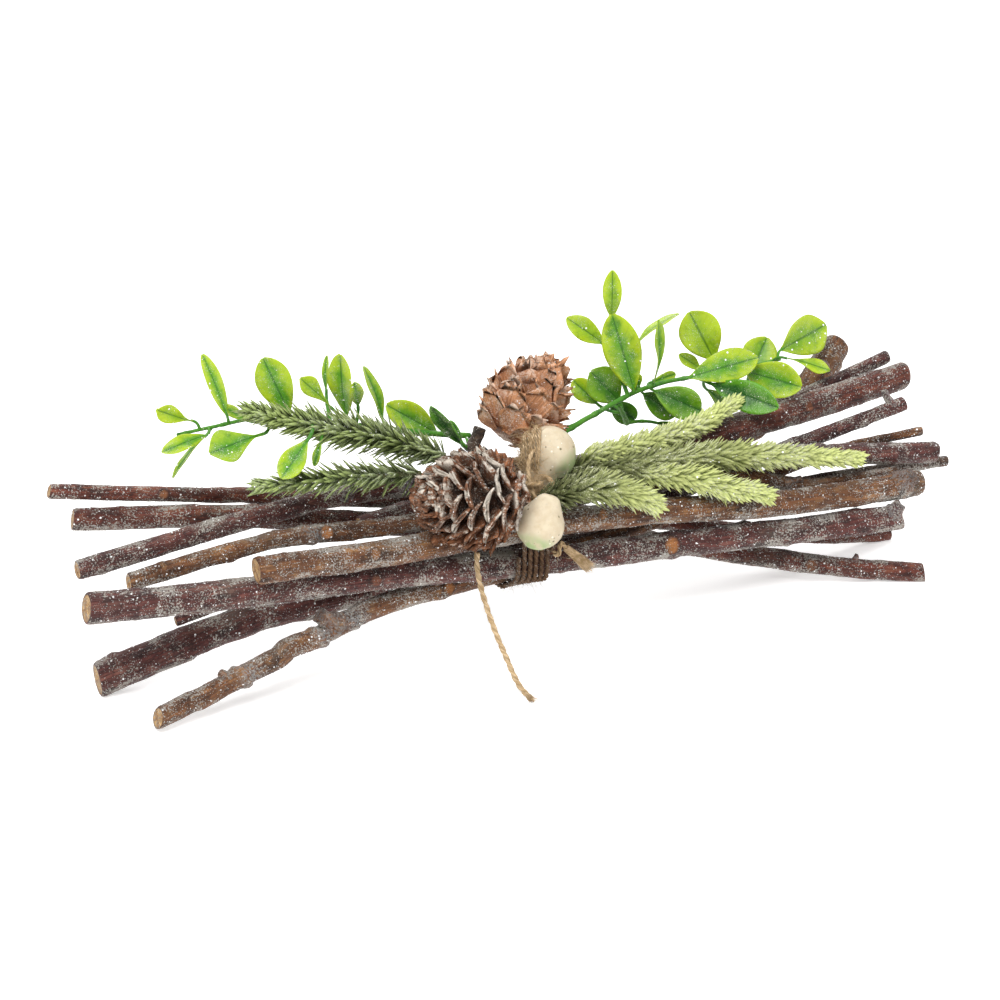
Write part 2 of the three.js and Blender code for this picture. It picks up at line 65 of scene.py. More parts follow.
log = logging.getLogger("twig_bundle")


# ---- Numbers and directions ----


def dice(name: str) -> np.random.Generator:
    """A random source that always rolls the same for the same name."""
    return np.random.default_rng(sum((i + 1) * ord(letter) for i, letter in enumerate(name)))


def unit(vectors: Array) -> Array:
    """The vectors at length one."""
    return vectors / np.maximum(np.linalg.norm(vectors, axis=-1, keepdims=True), 1e-9)


def smooth_step(low: float, high: float, values: Array) -> Array:
    """A soft step from 0 at low to 1 at high."""
    share = np.clip((values - low) / (high - low), 0.0, 1.0)
    return share * share * (3 - 2 * share)


def noise(points: Array, size: float, seed: int = 0) -> Array:
    """Soft lumps in space.

    Args:
        points: places, with three numbers in the last axis.
        size: how far apart the lumps are.
        seed: another number gives other lumps.

    Returns:
        One value from -1 to 1 for each place.
    """
    place = points / size + 17.3 * seed
    cell = np.floor(place).astype(np.int64)
    share = place - cell
    share = share * share * (3 - 2 * share)
    total = np.zeros(points.shape[:-1])
    for corner in range(8):
        step = np.array([corner & 1, corner >> 1 & 1, corner >> 2 & 1])
        key = (cell + step) * np.array([374761393, 668265263, 1274126177])
        mixed = (key[..., 0] ^ key[..., 1] ^ key[..., 2]) + seed * 974711
        mixed = (mixed ^ (mixed >> 13)) * 1103515245 & 0x7FFFFFFF
        value = (mixed >> 7 & 0xFFFF) / 32767.5 - 1
        total += value * np.prod(np.where(step == 1, share, 1 - share), axis=-1)
    return total


def through(path: Array, step: float) -> Array:
    """A smooth line through some points.

    Args:
        path: the points, in millimetres.
        step: the distance between the points of the new line.

    Returns:
        Evenly spaced points of the line.
    """
    padded = np.vstack([2 * path[0] - path[1], path, 2 * path[-1] - path[-2]])
    share = np.linspace(0, 1, 12, endpoint=False)[:, None]
    pieces = []
    for a, b, c, d in zip(padded, padded[1:], padded[2:], padded[3:]):
        pieces.append(
            0.5 * (2 * b + (c - a) * share + (2 * a - 5 * b + 4 * c - d) * share**2
                   + (3 * b - a - 3 * c + d) * share**3)
        )
    return evenly(np.vstack([*pieces, path[-1:]]), step)


def evenly(line: Array, step: float) -> Array:
    """The same line with its points a step apart."""
    along = run_of(line)
    count = max(2, round(along[-1] / step) + 1)
    wanted = np.linspace(0, along[-1], count)
    return np.stack([np.interp(wanted, along, line[:, k]) for k in range(3)], axis=1)


def run_of(line: Array) -> Array:
    """How far along the line each of its points is."""
    return np.concatenate([[0.0], np.cumsum(np.linalg.norm(np.diff(line, axis=0), axis=1))])


def frames_on(line: Array) -> tuple[Array, Array, Array]:
    """The way along a line, and the two ways across it, at each of its points.

    Args:
        line: evenly spaced points.

    Returns:
        The directions along, to the side and up.
    """
    along = unit(np.gradient(line, axis=0))
    side = unit(np.cross(along, UP))
    return along, side, np.cross(side, along)


def carried_frames(line: Array) -> tuple[Array, Array, Array]:
    """Like frames_on, for a line that turns every way: each frame is carried on from the last."""
    along = unit(np.gradient(line, axis=0))
    start = UP if abs(along[0][2]) < 0.8 else np.array([1.0, 0.0, 0.0])
    side = [unit(np.cross(along[0], start))]
    for way in along[1:]:
        side.append(unit(side[-1] - way * (side[-1] @ way)))
    side = np.array(side)
    return along, side, np.cross(side, along)


def full_turn(count: int) -> Array:
    """Evenly spaced angles of a full turn."""
    return np.arange(count) * math.tau / count


def outwards(side: Array, up: Array, angle: Array) -> Array:
    """The directions away from each point of a line, at each angle round it."""
    return side[:, None] * np.cos(angle)[None, :, None] + up[:, None] * np.sin(angle)[None, :, None]


def spokes(side: Array, over: Array, angle: Array) -> Array:
    """The directions away from one axis, at each angle round it."""
    return side * np.cos(angle)[:, None] + over * np.sin(angle)[:, None]


def random_turns(rng: np.random.Generator, count: int) -> Array:
    """A random rotation matrix for each of count things."""
    a, b, c, d = unit(rng.normal(size=(count, 4))).T
    return np.stack([
        np.stack([1 - 2 * (c * c + d * d), 2 * (b * c - a * d), 2 * (b * d + a * c)], -1),
        np.stack([2 * (b * c + a * d), 1 - 2 * (b * b + d * d), 2 * (c * d - a * b)], -1),
        np.stack([2 * (b * d - a * c), 2 * (c * d + a * b), 1 - 2 * (b * b + c * c)], -1),
    ], -2)


# ---- Meshes ----


def tube_faces(rings: int, sides: int) -> Array:
    """The four-sided faces of a tube made of rings of points."""
    ring, side = np.meshgrid(np.arange(rings - 1), np.arange(sides), indexing="ij")
    here = ring * sides + side
    beside = ring * sides + (side + 1) % sides
    return np.stack([here, beside, beside + sides, here + sides], -1).reshape(-1, 4)


def cap_faces(sides: int, first: int, centre: int, flip: bool) -> Array:
    """The fan of triangles that closes a ring on its centre point."""
    here = first + np.arange(sides)
    beside = first + (np.arange(sides) + 1) % sides
    middle = np.full(sides, centre)
    return np.stack([beside, here, middle] if flip else [here, beside, middle], -1)


@dataclass
class Stock:
    """Surfaces gathered for one piece, in millimetres, with values marked on their points."""

    marks: tuple[str, ...] = ()
    points: list[Array] = field(default_factory=list)
    faces: list[Array] = field(default_factory=list)
    values: dict[str, list[Array]] = field(default_factory=dict)
    grain: list[Array] = field(default_factory=list)
    count: int = 0

    def add(self, points: Array, faces: list[Array], grain: Array | None = None,
            **values: Array | float) -> None:
        """Adds one surface.

        Args:
            points: its points, three numbers each.
            faces: arrays of faces with three or four corners each.
            grain: the place of each point in the material's own space.
            **values: what is marked on the points; a mark that isn't given is 0.
        """
        points = points.reshape(-1, 3)
        self.points.append(points)
        self.faces.extend(part + self.count for part in faces)
        self.grain.append(points if grain is None else grain.reshape(-1, 3))
        for mark in self.marks:
            value = np.broadcast_to(values.get(mark, 0.0), (len(points),))
            self.values.setdefault(mark, []).append(value)
        self.count += len(points)

    def tube(self, rings: Array, closed_start: bool = True, closed_end: bool = True,
             grain: Array | None = None, **values: Array | float) -> None:
        """Adds a tube of rings of points, closed at its ends.

        Args:
            rings: points, as rings by sides by three.
            closed_start: whether the first ring gets a cap.
            closed_end: whether the last ring gets a cap.
            grain: the place of each point in the material's own space.
            **values: marks, one number or one for each point of the rings.
        """
        count, sides = rings.shape[:2]
        points = rings.reshape(-1, 3)
        grain = points if grain is None else grain.reshape(-1, 3)
        ends = [(0, closed_start, True), (count - 1, closed_end, False)]
        faces = [tube_faces(count, sides)]
        flat = {k: np.broadcast_to(v, (count, sides)).reshape(-1) for k, v in values.items()}
        for ring, wanted, flip in ends:
            if wanted:
                first = ring * sides
                faces.append(cap_faces(sides, first, len(points), flip))
                points = np.vstack([points, rings[ring].mean(0)])
                grain = np.vstack([grain, grain[first:first + sides].mean(0)])
                flat = {k: np.append(v, v[first:first + sides].mean()) for k, v in flat.items()}
        self.add(points, faces, grain, **flat)

    def make(self, name: str, material: bpy.types.Material, slot: str,
             replaced: tuple[str, ...] = (), smooth: bool = True) -> bpy.types.Object:
        """Makes the piece and fixes it to the bundle.

        Args:
            name: the piece's name.
            material: its finish.
            slot: the record's slot that the finish stands for; not used.
            replaced: the plain solids that it is shown in place of.
            smooth: whether its faces are shaded smooth.

        Returns:
            The new object.
        """
        points = np.concatenate(self.points)
        points[:, 2] = np.maximum(points[:, 2], LOWEST)
        corners = np.concatenate([part.ravel() for part in self.faces])
        sizes = np.concatenate([np.full(len(part), part.shape[1]) for part in self.faces])
        mesh = bpy.data.meshes.new(name)
        mesh.vertices.add(len(points))
        mesh.vertices.foreach_set("co", (points * MM).astype(np.float32).ravel())
        mesh.loops.add(len(corners))
        mesh.loops.foreach_set("vertex_index", corners.astype(np.int32))
        mesh.polygons.add(len(sizes))
        starts = np.concatenate([[0], np.cumsum(sizes)[:-1]])
        mesh.polygons.foreach_set("loop_start", starts.astype(np.int32))
        mesh.polygons.foreach_set("use_smooth", np.full(len(sizes), smooth))
        mesh.update(calc_edges=True)
        for mark, parts in self.values.items():
            layer = mesh.attributes.new(mark, "FLOAT", "POINT")
            layer.data.foreach_set("value", np.concatenate(parts).astype(np.float32))
        layer = mesh.attributes.new("grain", "FLOAT_VECTOR", "POINT")
        layer.data.foreach_set("vector", (np.concatenate(self.grain) * MM).astype(np.float32).ravel())
        mesh.materials.append(material)
        piece = bpy.data.objects.new(name, mesh)
        bpy.context.scene.collection.objects.link(piece)
        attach(piece, "root")
        if replaced:
            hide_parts(*replaced)
        log.info("%s: %d faces", name, len(sizes))
        return piece


@dataclass
class Solid:
    """A plain solid of the frame, read in millimetres."""

    node: str

    def __post_init__(self) -> None:
        """Reads the solid's points and edges."""
        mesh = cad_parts[self.node].data
        places = np.zeros(len(mesh.vertices) * 3)
        mesh.vertices.foreach_get("co", places)
        self.points = places.reshape(-1, 3) / MM
        edges = np.zeros(len(mesh.edges) * 2, dtype=np.int32)
        mesh.edges.foreach_get("vertices", edges)
        self.edges = edges.reshape(-1, 2)

    def cut(self, axis: int, level: float) -> Array:
        """The points where the solid's edges pass a level of an axis."""
        low, high = self.points[self.edges[:, 0]], self.points[self.edges[:, 1]]
        below, above = low[:, axis] - level, high[:, axis] - level
        crossing = below * above < 0
        share = (below / np.where(below == above, 1, below - above))[crossing, None]
        return low[crossing] + (high[crossing] - low[crossing]) * share

    def middle_line(self, axis: int, cuts: int) -> tuple[Array, Array]:
        """The line through the middle of a long solid.

        Args:
            axis: the axis that it runs along most.
            cuts: how many cuts are taken across it.

        Returns:
            The line's points from end to end, and the half thickness at each.
        """
        low, high = self.points[:, axis].min(), self.points[:, axis].max()
        middles, halves = [], []
        for level in np.linspace(low, high, cuts + 2)[1:-1]:
            cut = self.cut(axis, level)
            if len(cut) < 5:
                continue
            spread = np.delete(cut.max(0) - cut.min(0), axis)
            middles.append((cut.max(0) + cut.min(0)) / 2)
            halves.append(spread.min() / 2)
        line, half = steadied(np.array(middles)), steadied(np.array(halves)[:, None])[:, 0]
        inner = slice(3, -3)
        line, half = line[inner], half[inner]
        for end, beside in ((0, 4), (-1, -5)):
            way = unit(line[end] - line[beside])
            reach = ((self.points - line[end]) @ way).max() - 0.6
            tip = (line[end] + way * reach)[None]
            line = np.vstack([tip, line] if end == 0 else [line, tip])
            half = np.append(half[:1], half) if end == 0 else np.append(half, half[-1:])
        return line, half


def steadied(values: Array, window: int = 4) -> Array:
    """A row of values without its short bumps."""
    padded = np.vstack([np.repeat(values[:1], window, 0), values, np.repeat(values[-1:], window, 0)])
    slope_start = (values[window] - values[0]) / window
    slope_end = (values[-1] - values[-1 - window]) / window
    for step in range(1, window + 1):
        padded[window - step] = values[0] - slope_start * step
        padded[-1 - window + step] = values[-1] + slope_end * step
    rows = np.stack([padded[i:len(values) + i] for i in range(2 * window + 1)])
    return np.median(rows, axis=0)


# ---- Wiring of the finishes ----


@dataclass
class Wiring:
    """Places and joins the nodes of one material or one group."""

    tree: bpy.types.NodeTree

    def add(self, kind: str, settings: dict | None = None, **inputs: object) -> bpy.types.Node:
        """Adds a node.

        Args:
            kind: the node's type without "ShaderNode".
            settings: values of the node's own properties.
            **inputs: a value or a socket for each input; _ stands for a space in its name, and
                a name of in and a number stands for an input by its place.

        Returns:
            The node.
        """
        node = self.tree.nodes.new("ShaderNode" + kind)
        for name, value in (settings or {}).items():
            setattr(node, name, value)
        for name, value in inputs.items():
            number = name[2:] if name.startswith("in") else ""
            key = int(number) if number.isdigit() else name.replace("_", " ")
            self.put(value, node.inputs[key])
        return node

    def put(self, value: object, socket: bpy.types.NodeSocket) -> None:
        """Joins a socket to another one, or gives it a plain value."""
        if isinstance(value, bpy.types.NodeSocket):
            self.tree.links.new(value, socket)
        elif isinstance(value, tuple) and len(value) == 3 and socket.type == "RGBA":
            socket.default_value = (*value, 1.0)
        else:
            socket.default_value = value

    def math(self, operation: str, *values: object, clamp: bool = False) -> bpy.types.NodeSocket:
        """A sum on one, two or three values."""
        inputs = {f"in{i}": value for i, value in enumerate(values)}
        return self.add("Math", {"operation": operation, "use_clamp": clamp}, **inputs).outputs[0]

    def step(self, value: object, low: float, high: float, start: float = 0.0,
             end: float = 1.0) -> bpy.types.NodeSocket:
        """A soft step of a value, from start at low to end at high."""
        node = self.add("MapRange", {"interpolation_type": "SMOOTHSTEP"}, in0=value, in1=low, in2=high,
                        in3=start, in4=end)
        return node.outputs[0]

    def mix(self, share: object, first: object, second: object) -> bpy.types.NodeSocket:
        """A mix of two colours."""
        node = self.add("Mix", {"data_type": "RGBA", "blend_type": "MIX", "clamp_factor": True})
        self.put(share, node.inputs[0])
        self.put(first, node.inputs[6])
        self.put(second, node.inputs[7])
        return node.outputs[2]

    def noise(self, where: object, scale: float, detail: float = 3.0,
              rough: float = 0.55) -> bpy.types.NodeSocket:
        """Soft lumps, scale of them to a metre."""
        node = self.add("TexNoise", Vector=where, Scale=scale, Detail=detail, Roughness=rough)
        return node.outputs["Fac"]

    def cells(self, where: object, scale: float) -> bpy.types.Node:
        """Cells with a distance from their middle and a random colour each."""
        return self.add("TexVoronoi", Vector=where, Scale=scale)

    def stretched(self, where: object, scale: Point) -> bpy.types.NodeSocket:
        """A place with each of its directions scaled."""
        return self.add("Mapping", {"vector_type": "POINT"}, Vector=where, Scale=scale).outputs[0]

    def mark(self, name: str, output: str = "Fac") -> bpy.types.NodeSocket:
        """What is marked on the points of the piece."""
        return self.add("Attribute", {"attribute_name": name}).outputs[output]


class Kind(Enum):
    """The kinds of socket that a group has."""

    COLOUR = "NodeSocketColor"
    NUMBER = "NodeSocketFloat"
    PLACE = "NodeSocketVector"


@dataclass
class Group:
    """A group of nodes that several finishes share."""

    name: str
    inputs: dict[str, Kind]
    outputs: dict[str, Kind]

    def __post_init__(self) -> None:
        """Makes the empty group with its sockets."""
        self.tree = bpy.data.node_groups.new(self.name, "ShaderNodeTree")
        for way, sockets in (("INPUT", self.inputs), ("OUTPUT", self.outputs)):
            for name, kind in sockets.items():
                self.tree.interface.new_socket(name=name, in_out=way, socket_type=kind.value)
        self.wiring = Wiring(self.tree)
        self.given = self.tree.nodes.new("NodeGroupInput").outputs
        self.result = self.tree.nodes.new("NodeGroupOutput").inputs

    def place(self, wiring: Wiring, **inputs: object) -> dict[str, bpy.types.NodeSocket]:
        """Puts the group in a finish and returns its outputs by name."""
        node = wiring.add("Group", {"node_tree": self.tree}, **inputs)
        return {socket.name: socket for socket in node.outputs}


class SharedEffects:
    """The groups that the finishes share, built once."""

    def __init__(self) -> None:
        """Builds the groups."""
        self.frost = self.build_frost()
        self.streaks = self.build_streaks()

    def build_frost(self) -> Group:
        """Sugary frost in patches, thicker on faces that point to the top and the bottom of the view, which
        is partly frost lying on top and partly a painted sheen along the outlines, with a few painted glints.
        """
        group = Group(
            "frost",
            {"Base": Kind.COLOUR, "Shine": Kind.NUMBER, "Amount": Kind.NUMBER, "Grain": Kind.NUMBER,
             "Patch": Kind.NUMBER, "Haze": Kind.NUMBER, "Tint": Kind.COLOUR},
            {"Colour": Kind.COLOUR, "Roughness": Kind.NUMBER, "Height": Kind.NUMBER},
        )
        w, given = group.wiring, group.given
        place = w.add("TexCoord").outputs["Object"]
        fine = w.add("TexNoise", Vector=place, Scale=given["Grain"], Detail=1.0, Roughness=0.6)
        patch = w.add("TexNoise", Vector=place, Scale=given["Patch"], Detail=4.0, Roughness=0.65)
        facing = w.add("NewGeometry").outputs["Normal"]
        # Frost gathers on faces that point to the top and the bottom of the view: partly frost lying on top,
        # partly a painted sheen along the outlines.
        lean = w.add("VectorMath", {"operation": "DOT_PRODUCT"}, in0=facing, in1=(0.16, 0.36, 0.92))
        edges = w.step(w.math("ABSOLUTE", lean.outputs["Value"]), 0.2, 1.0, 0.62, 1.15)
        cover = w.math("MULTIPLY", w.step(patch.outputs["Fac"], 0.38, 0.62, 0.08, 1.28), edges)
        away = w.math("ABSOLUTE", w.add("SeparateXYZ", in0=place).outputs[0])
        cover = w.math("MULTIPLY", cover, w.step(away, 0.02, 0.11, 1.2, 1.0))
        cover = w.math("MULTIPLY", cover, given["Amount"])
        edge = w.math("SUBTRACT", 0.72, w.math("MULTIPLY", cover, 0.26))
        over = w.math("SUBTRACT", fine.outputs["Fac"], edge)
        grains = w.math("MULTIPLY", w.step(over, 0.0, 0.05), 0.85)
        haze = w.math("MULTIPLY", cover, given["Haze"], clamp=True)
        mask = w.math("MAXIMUM", grains, haze)
        # Painted glints: a few tiny cells turn pure white as sparkles of light on the frost.
        cell = w.cells(place, 900.0)
        pick = w.add("SeparateColor", Color=cell.outputs["Color"]).outputs[0]
        glint = w.math("MULTIPLY", w.step(pick, 0.955, 0.97), w.step(cell.outputs["Distance"], 0.34, 0.22))
        glint = w.math("MULTIPLY", glint, w.step(given["Amount"], 0.0, 0.3), clamp=True)
        frosted = w.mix(mask, given["Base"], given["Tint"])
        w.put(w.mix(glint, frosted, (1.0, 1.0, 1.0)), group.result["Colour"])
        w.put(w.mix(mask, given["Shine"], (0.8, 0.8, 0.8)), group.result["Roughness"])
        w.put(w.math("ADD", w.math("MULTIPLY", mask, 0.6), glint), group.result["Height"])
        return group

    def build_streaks(self) -> Group:
        """Fibres or furrows that run along the first direction of a piece's own space."""
        group = Group(
            "streaks",
            {"Where": Kind.PLACE, "Fineness": Kind.NUMBER, "Depth": Kind.NUMBER},
            {"Mask": Kind.NUMBER, "Height": Kind.NUMBER},
        )
        w, given = group.wiring, group.given
        long_way = w.stretched(given["Where"], (0.07, 1.0, 1.0))
        wide = w.add("TexNoise", Vector=long_way, Scale=given["Fineness"], Detail=4.0, Roughness=0.6)
        furrow = w.math("ABSOLUTE", w.math("SUBTRACT", wide.outputs["Fac"], 0.5))
        mask = w.step(furrow, 0.0, 0.09, 1.0, 0.0)
        w.put(mask, group.result["Mask"])
        height = w.math("MULTIPLY", w.math("SUBTRACT", wide.outputs["Fac"], mask), given["Depth"])
        w.put(height, group.result["Height"])
        return group


@dataclass(frozen=True)
class Finish:
    """What every finish shares: a material with its shader and its frost."""

    name: str
    frost: float = 0.0
    frost_grain: float = 2200.0
    frost_patch: float = 100.0
    frost_haze: float = 0.10
    frost_tint: Colour = (0.37, 0.345, 0.305)
    shine: float = 0.2
    roughness: float = 0.7
    bump: float = 0.35
    bump_reach: float = 0.0004

    def colour(self, wiring: Wiring, shared: SharedEffects) -> tuple[object, object]:
        """The colour and the height of the surface before its frost."""
        raise NotImplementedError

    def tune(self, shader: bpy.types.Node) -> None:
        """Sets the values that are the same all over."""

    def make(self, shared: SharedEffects) -> bpy.types.Material:
        """Makes the material.

        Args:
            shared: the groups that finishes share.

        Returns:
            The material.
        """
        material = bpy.data.materials.new(self.name)
        material.use_nodes = True
        wiring = Wiring(material.node_tree)
        shader = next(node for node in wiring.tree.nodes if node.type == "BSDF_PRINCIPLED")
        colour, height = self.colour(wiring, shared)
        if self.frost:
            frosted = shared.frost.place(
                wiring, Base=colour, Shine=self.roughness, Amount=self.frost, Grain=self.frost_grain,
                Patch=self.frost_patch, Haze=self.frost_haze, Tint=self.frost_tint,
            )
            colour = frosted["Colour"]
            height = wiring.math("ADD", height, wiring.math("MULTIPLY", frosted["Height"], 0.5))
            wiring.put(frosted["Roughness"], shader.inputs["Roughness"])
        else:
            shader.inputs["Roughness"].default_value = self.roughness
        wiring.put(colour, shader.inputs["Base Color"])
        bump = wiring.add("Bump", Strength=self.bump, Distance=self.bump_reach, Height=height)
        wiring.put(bump.outputs[0], shader.inputs["Normal"])
        shader.inputs["Specular IOR Level"].default_value = self.shine
        self.tune(shader)
        return material


@dataclass(frozen=True)
class BarkFinish(Finish):
    """Bark with furrows, patches, grey lichen, rusty knots and pale sawn ends."""

    dark: Colour = (0.07, 0.035, 0.03)
    middle: Colour = (0.17, 0.08, 0.055)
    light: Colour = (0.30, 0.17, 0.10)
    lichen: float = 0.3

    def colour(self, wiring: Wiring, shared: SharedEffects) -> tuple[object, object]:
        """The colour and the height of the bark."""
        w = wiring
        where = w.mark("grain", "Vector")
        streaks = shared.streaks.place(w, Where=where, Fineness=650.0, Depth=0.8)
        patches = w.noise(w.stretched(where, (0.35, 1.0, 1.0)), 170.0, 5.0, 0.65)
        bark = w.mix(w.step(patches, 0.32, 0.52), self.dark, self.middle)
        bark = w.mix(w.step(patches, 0.52, 0.74), bark, self.light)
        speckle = w.noise(where, 1500.0, 2.0)
        blotch = w.noise(w.stretched(where, (0.6, 1.0, 1.0)), 520.0, 3.0, 0.6)
        bark = w.mix(w.step(blotch, 0.52, 0.66, 0.0, 0.55), bark, self.light)
        bark = w.mix(w.step(blotch, 0.46, 0.34, 0.0, 0.7), bark, self.dark)
        bark = w.mix(w.step(speckle, 0.5, 0.75, 0.0, 0.35), bark, self.light)
        bark = w.mix(w.math("MULTIPLY", streaks["Mask"], 0.45), bark, self.dark)
        grey = w.step(w.noise(w.stretched(where, (0.5, 1.0, 1.0)), 75.0, 4.0, 0.6), 0.56, 0.70)
        bark = w.mix(w.math("MULTIPLY", grey, self.lichen), bark, (0.15, 0.145, 0.115))
        ash = w.math("MULTIPLY", w.mark("ash"), w.step(speckle, 0.38, 0.6))
        bark = w.mix(ash, bark, (0.20, 0.20, 0.20))
        # Painted shade: the bark turns near black in its furrows. The same mark holds the dark rims of the
        # knots and the darker ends of the stubs.
        bark = w.mix(w.mark("hollow"), bark, (0.018, 0.011, 0.010))
        rust = w.mix(speckle, (0.20, 0.075, 0.025), (0.42, 0.18, 0.06))
        bark = w.mix(w.mark("knot"), bark, rust)
        reach = w.mark("reach")
        wave = w.math("ADD", w.math("MULTIPLY", reach, 34.0), w.math("MULTIPLY", speckle, 3.0))
        ring = w.math("SINE", wave)
        wood = w.mix(w.step(ring, -1.0, 1.0), (0.46, 0.27, 0.11), (0.66, 0.44, 0.20))
        wood = w.mix(w.step(w.noise(where, 420.0, 3.0), 0.36, 0.62, 0.0, 0.75), wood, (0.27, 0.12, 0.045))
        wood = w.mix(w.step(w.noise(where, 1100.0, 3.0), 0.5, 0.68, 0.0, 0.6), wood, (0.10, 0.055, 0.03))
        wood = w.mix(w.step(reach, 0.16, 0.06), wood, (0.13, 0.06, 0.03))
        colour = w.mix(w.step(w.mark("cut"), 0.35, 0.6), bark, wood)
        height = w.math("ADD", streaks["Height"], w.math("MULTIPLY", speckle, 0.35))
        return colour, w.math("ADD", height, w.math("MULTIPLY", blotch, 0.6))

    def tune(self, shader: bpy.types.Node) -> None:
        """Lets the edges of the bark catch the light, as a dusty surface does."""
        shader.inputs["Sheen Weight"].default_value = 0.08
        shader.inputs["Sheen Roughness"].default_value = 0.5


@dataclass(frozen=True)
class JuteFinish(Finish):
    """Twisted hairy fibre."""

    pale: Colour = (0.86, 0.66, 0.42)
    deep: Colour = (0.52, 0.35, 0.18)

    def colour(self, wiring: Wiring, shared: SharedEffects) -> tuple[object, object]:
        """The colour and the height of the fibres."""
        w = wiring
        where = w.mark("grain", "Vector")
        streaks = shared.streaks.place(w, Where=where, Fineness=1800.0, Depth=1.0)
        tone = w.noise(where, 500.0, 3.0)
        jute = w.mix(w.step(tone, 0.35, 0.65), self.deep, self.pale)
        jute = w.mix(w.math("MULTIPLY", streaks["Mask"], 0.5), jute, self.deep)
        # Painted shade in the groove between the two twisted strands.
        jute = w.mix(w.mark("hollow"), jute, (0.10, 0.055, 0.025))
        return jute, streaks["Height"]


@dataclass(frozen=True)
class ScaleFinish(Finish):
    """Woody cone scales, darkest at their roots, partly their own colour and partly painted shade where they
    overlap, with frosted or papery tips.
    """

    # inner is the colour at a scale's root: partly the wood's own colour, partly painted shade where the
    # scales cover each other.
    inner: Colour = (0.022, 0.012, 0.009)
    outer: Colour = (0.200, 0.088, 0.045)
    warm: Colour = (0.37, 0.140, 0.055)
    rim: Colour = (0.66, 0.59, 0.50)

    def colour(self, wiring: Wiring, shared: SharedEffects) -> tuple[object, object]:
        """The colour and the height of the scales."""
        w = wiring
        where = w.mark("grain", "Vector")
        streaks = shared.streaks.place(w, Where=where, Fineness=900.0, Depth=0.8)
        tip = w.mark("tip")
        blotch = w.noise(where, 520.0, 4.0, 0.65)
        # Near black at each scale's root: partly the wood's own colour, partly painted shade between the
        # overlapping scales.
        wood = w.mix(w.step(tip, 0.15, 0.75), self.inner, self.outer)
        rosy = w.math("MULTIPLY", w.mark("tone"), w.step(blotch, 0.3, 0.65))
        wood = w.mix(rosy, wood, self.warm)
        wood = w.mix(w.math("MULTIPLY", streaks["Mask"], 0.5), wood, self.inner)
        crumbs = w.math("ADD", blotch, w.math("MULTIPLY", w.noise(where, 1700.0, 2.0), 0.5))
        snow = w.math("ADD", w.math("MULTIPLY", w.mark("snow"), tip), w.math("MULTIPLY", crumbs, 1.9))
        wood = w.mix(w.step(snow, 1.68, 2.0, 0.0, 0.95), wood, self.rim)
        return wood, w.math("ADD", streaks["Height"], blotch)


@dataclass(frozen=True)
class WaxFinish(Finish):
    """A waxy berry with tiny dark specks and a green blush."""

    def colour(self, wiring: Wiring, shared: SharedEffects) -> tuple[object, object]:
        """The colour and the height of the wax."""
        w = wiring
        place = w.add("TexCoord").outputs["Object"]
        cloud = w.noise(place, 260.0, 4.0, 0.6)
        wax = w.mix(w.step(cloud, 0.3, 0.7), (0.51, 0.42, 0.29), (0.60, 0.52, 0.38))
        wax = w.mix(w.math("MULTIPLY", w.mark("blush"), w.step(cloud, 0.25, 0.6)), wax, (0.30, 0.38, 0.17))
        cell = w.cells(place, 520.0)
        pick = w.add("SeparateColor", Color=cell.outputs["Color"]).outputs[1]
        speck = w.math("MULTIPLY", w.step(pick, 0.72, 0.74), w.step(cell.outputs["Distance"], 0.24, 0.15))
        wax = w.mix(w.math("MULTIPLY", speck, 0.85), wax, (0.12, 0.10, 0.05))
        pits = w.math("MULTIPLY", w.noise(place, 1600.0), 0.3)
        return wax, w.math("ADD", w.math("MULTIPLY", cloud, 0.5), pits)

    def tune(self, shader: bpy.types.Node) -> None:
        """Gives the wax its soft depth."""
        shader.inputs["Subsurface Weight"].default_value = 0.12
        shader.inputs["Subsurface Radius"].default_value = (0.003, 0.002, 0.001)


@dataclass(frozen=True)
class NeedleFinish(Finish):
    """Moulded fir needles, darker at the foot, partly as painted shade near the branch, and pale at the tip.
    """

    foot: Colour = (0.20, 0.26, 0.10)
    tip: Colour = (0.55, 0.62, 0.26)
    old_and_shaded: Colour = (0.13, 0.15, 0.07)

    def colour(self, wiring: Wiring, shared: SharedEffects) -> tuple[object, object]:
        """The colour and the height of the needles."""
        w = wiring
        place = w.add("TexCoord").outputs["Object"]
        # Darker towards the foot of each needle and of the branch: partly older needles, partly painted shade
        # where the needles crowd.
        needle = w.mix(w.step(w.mark("tip"), 0.05, 0.9), self.foot, self.tip)
        needle = w.mix(w.math("MULTIPLY", w.mark("tone"), 0.75), needle, self.old_and_shaded)
        mottle = w.noise(place, 900.0, 3.0)
        needle = w.mix(w.step(mottle, 0.45, 0.75, 0.0, 0.4), needle, self.foot)
        needle = w.mix(w.mark("twig"), needle, (0.12, 0.10, 0.05))
        return needle, mottle


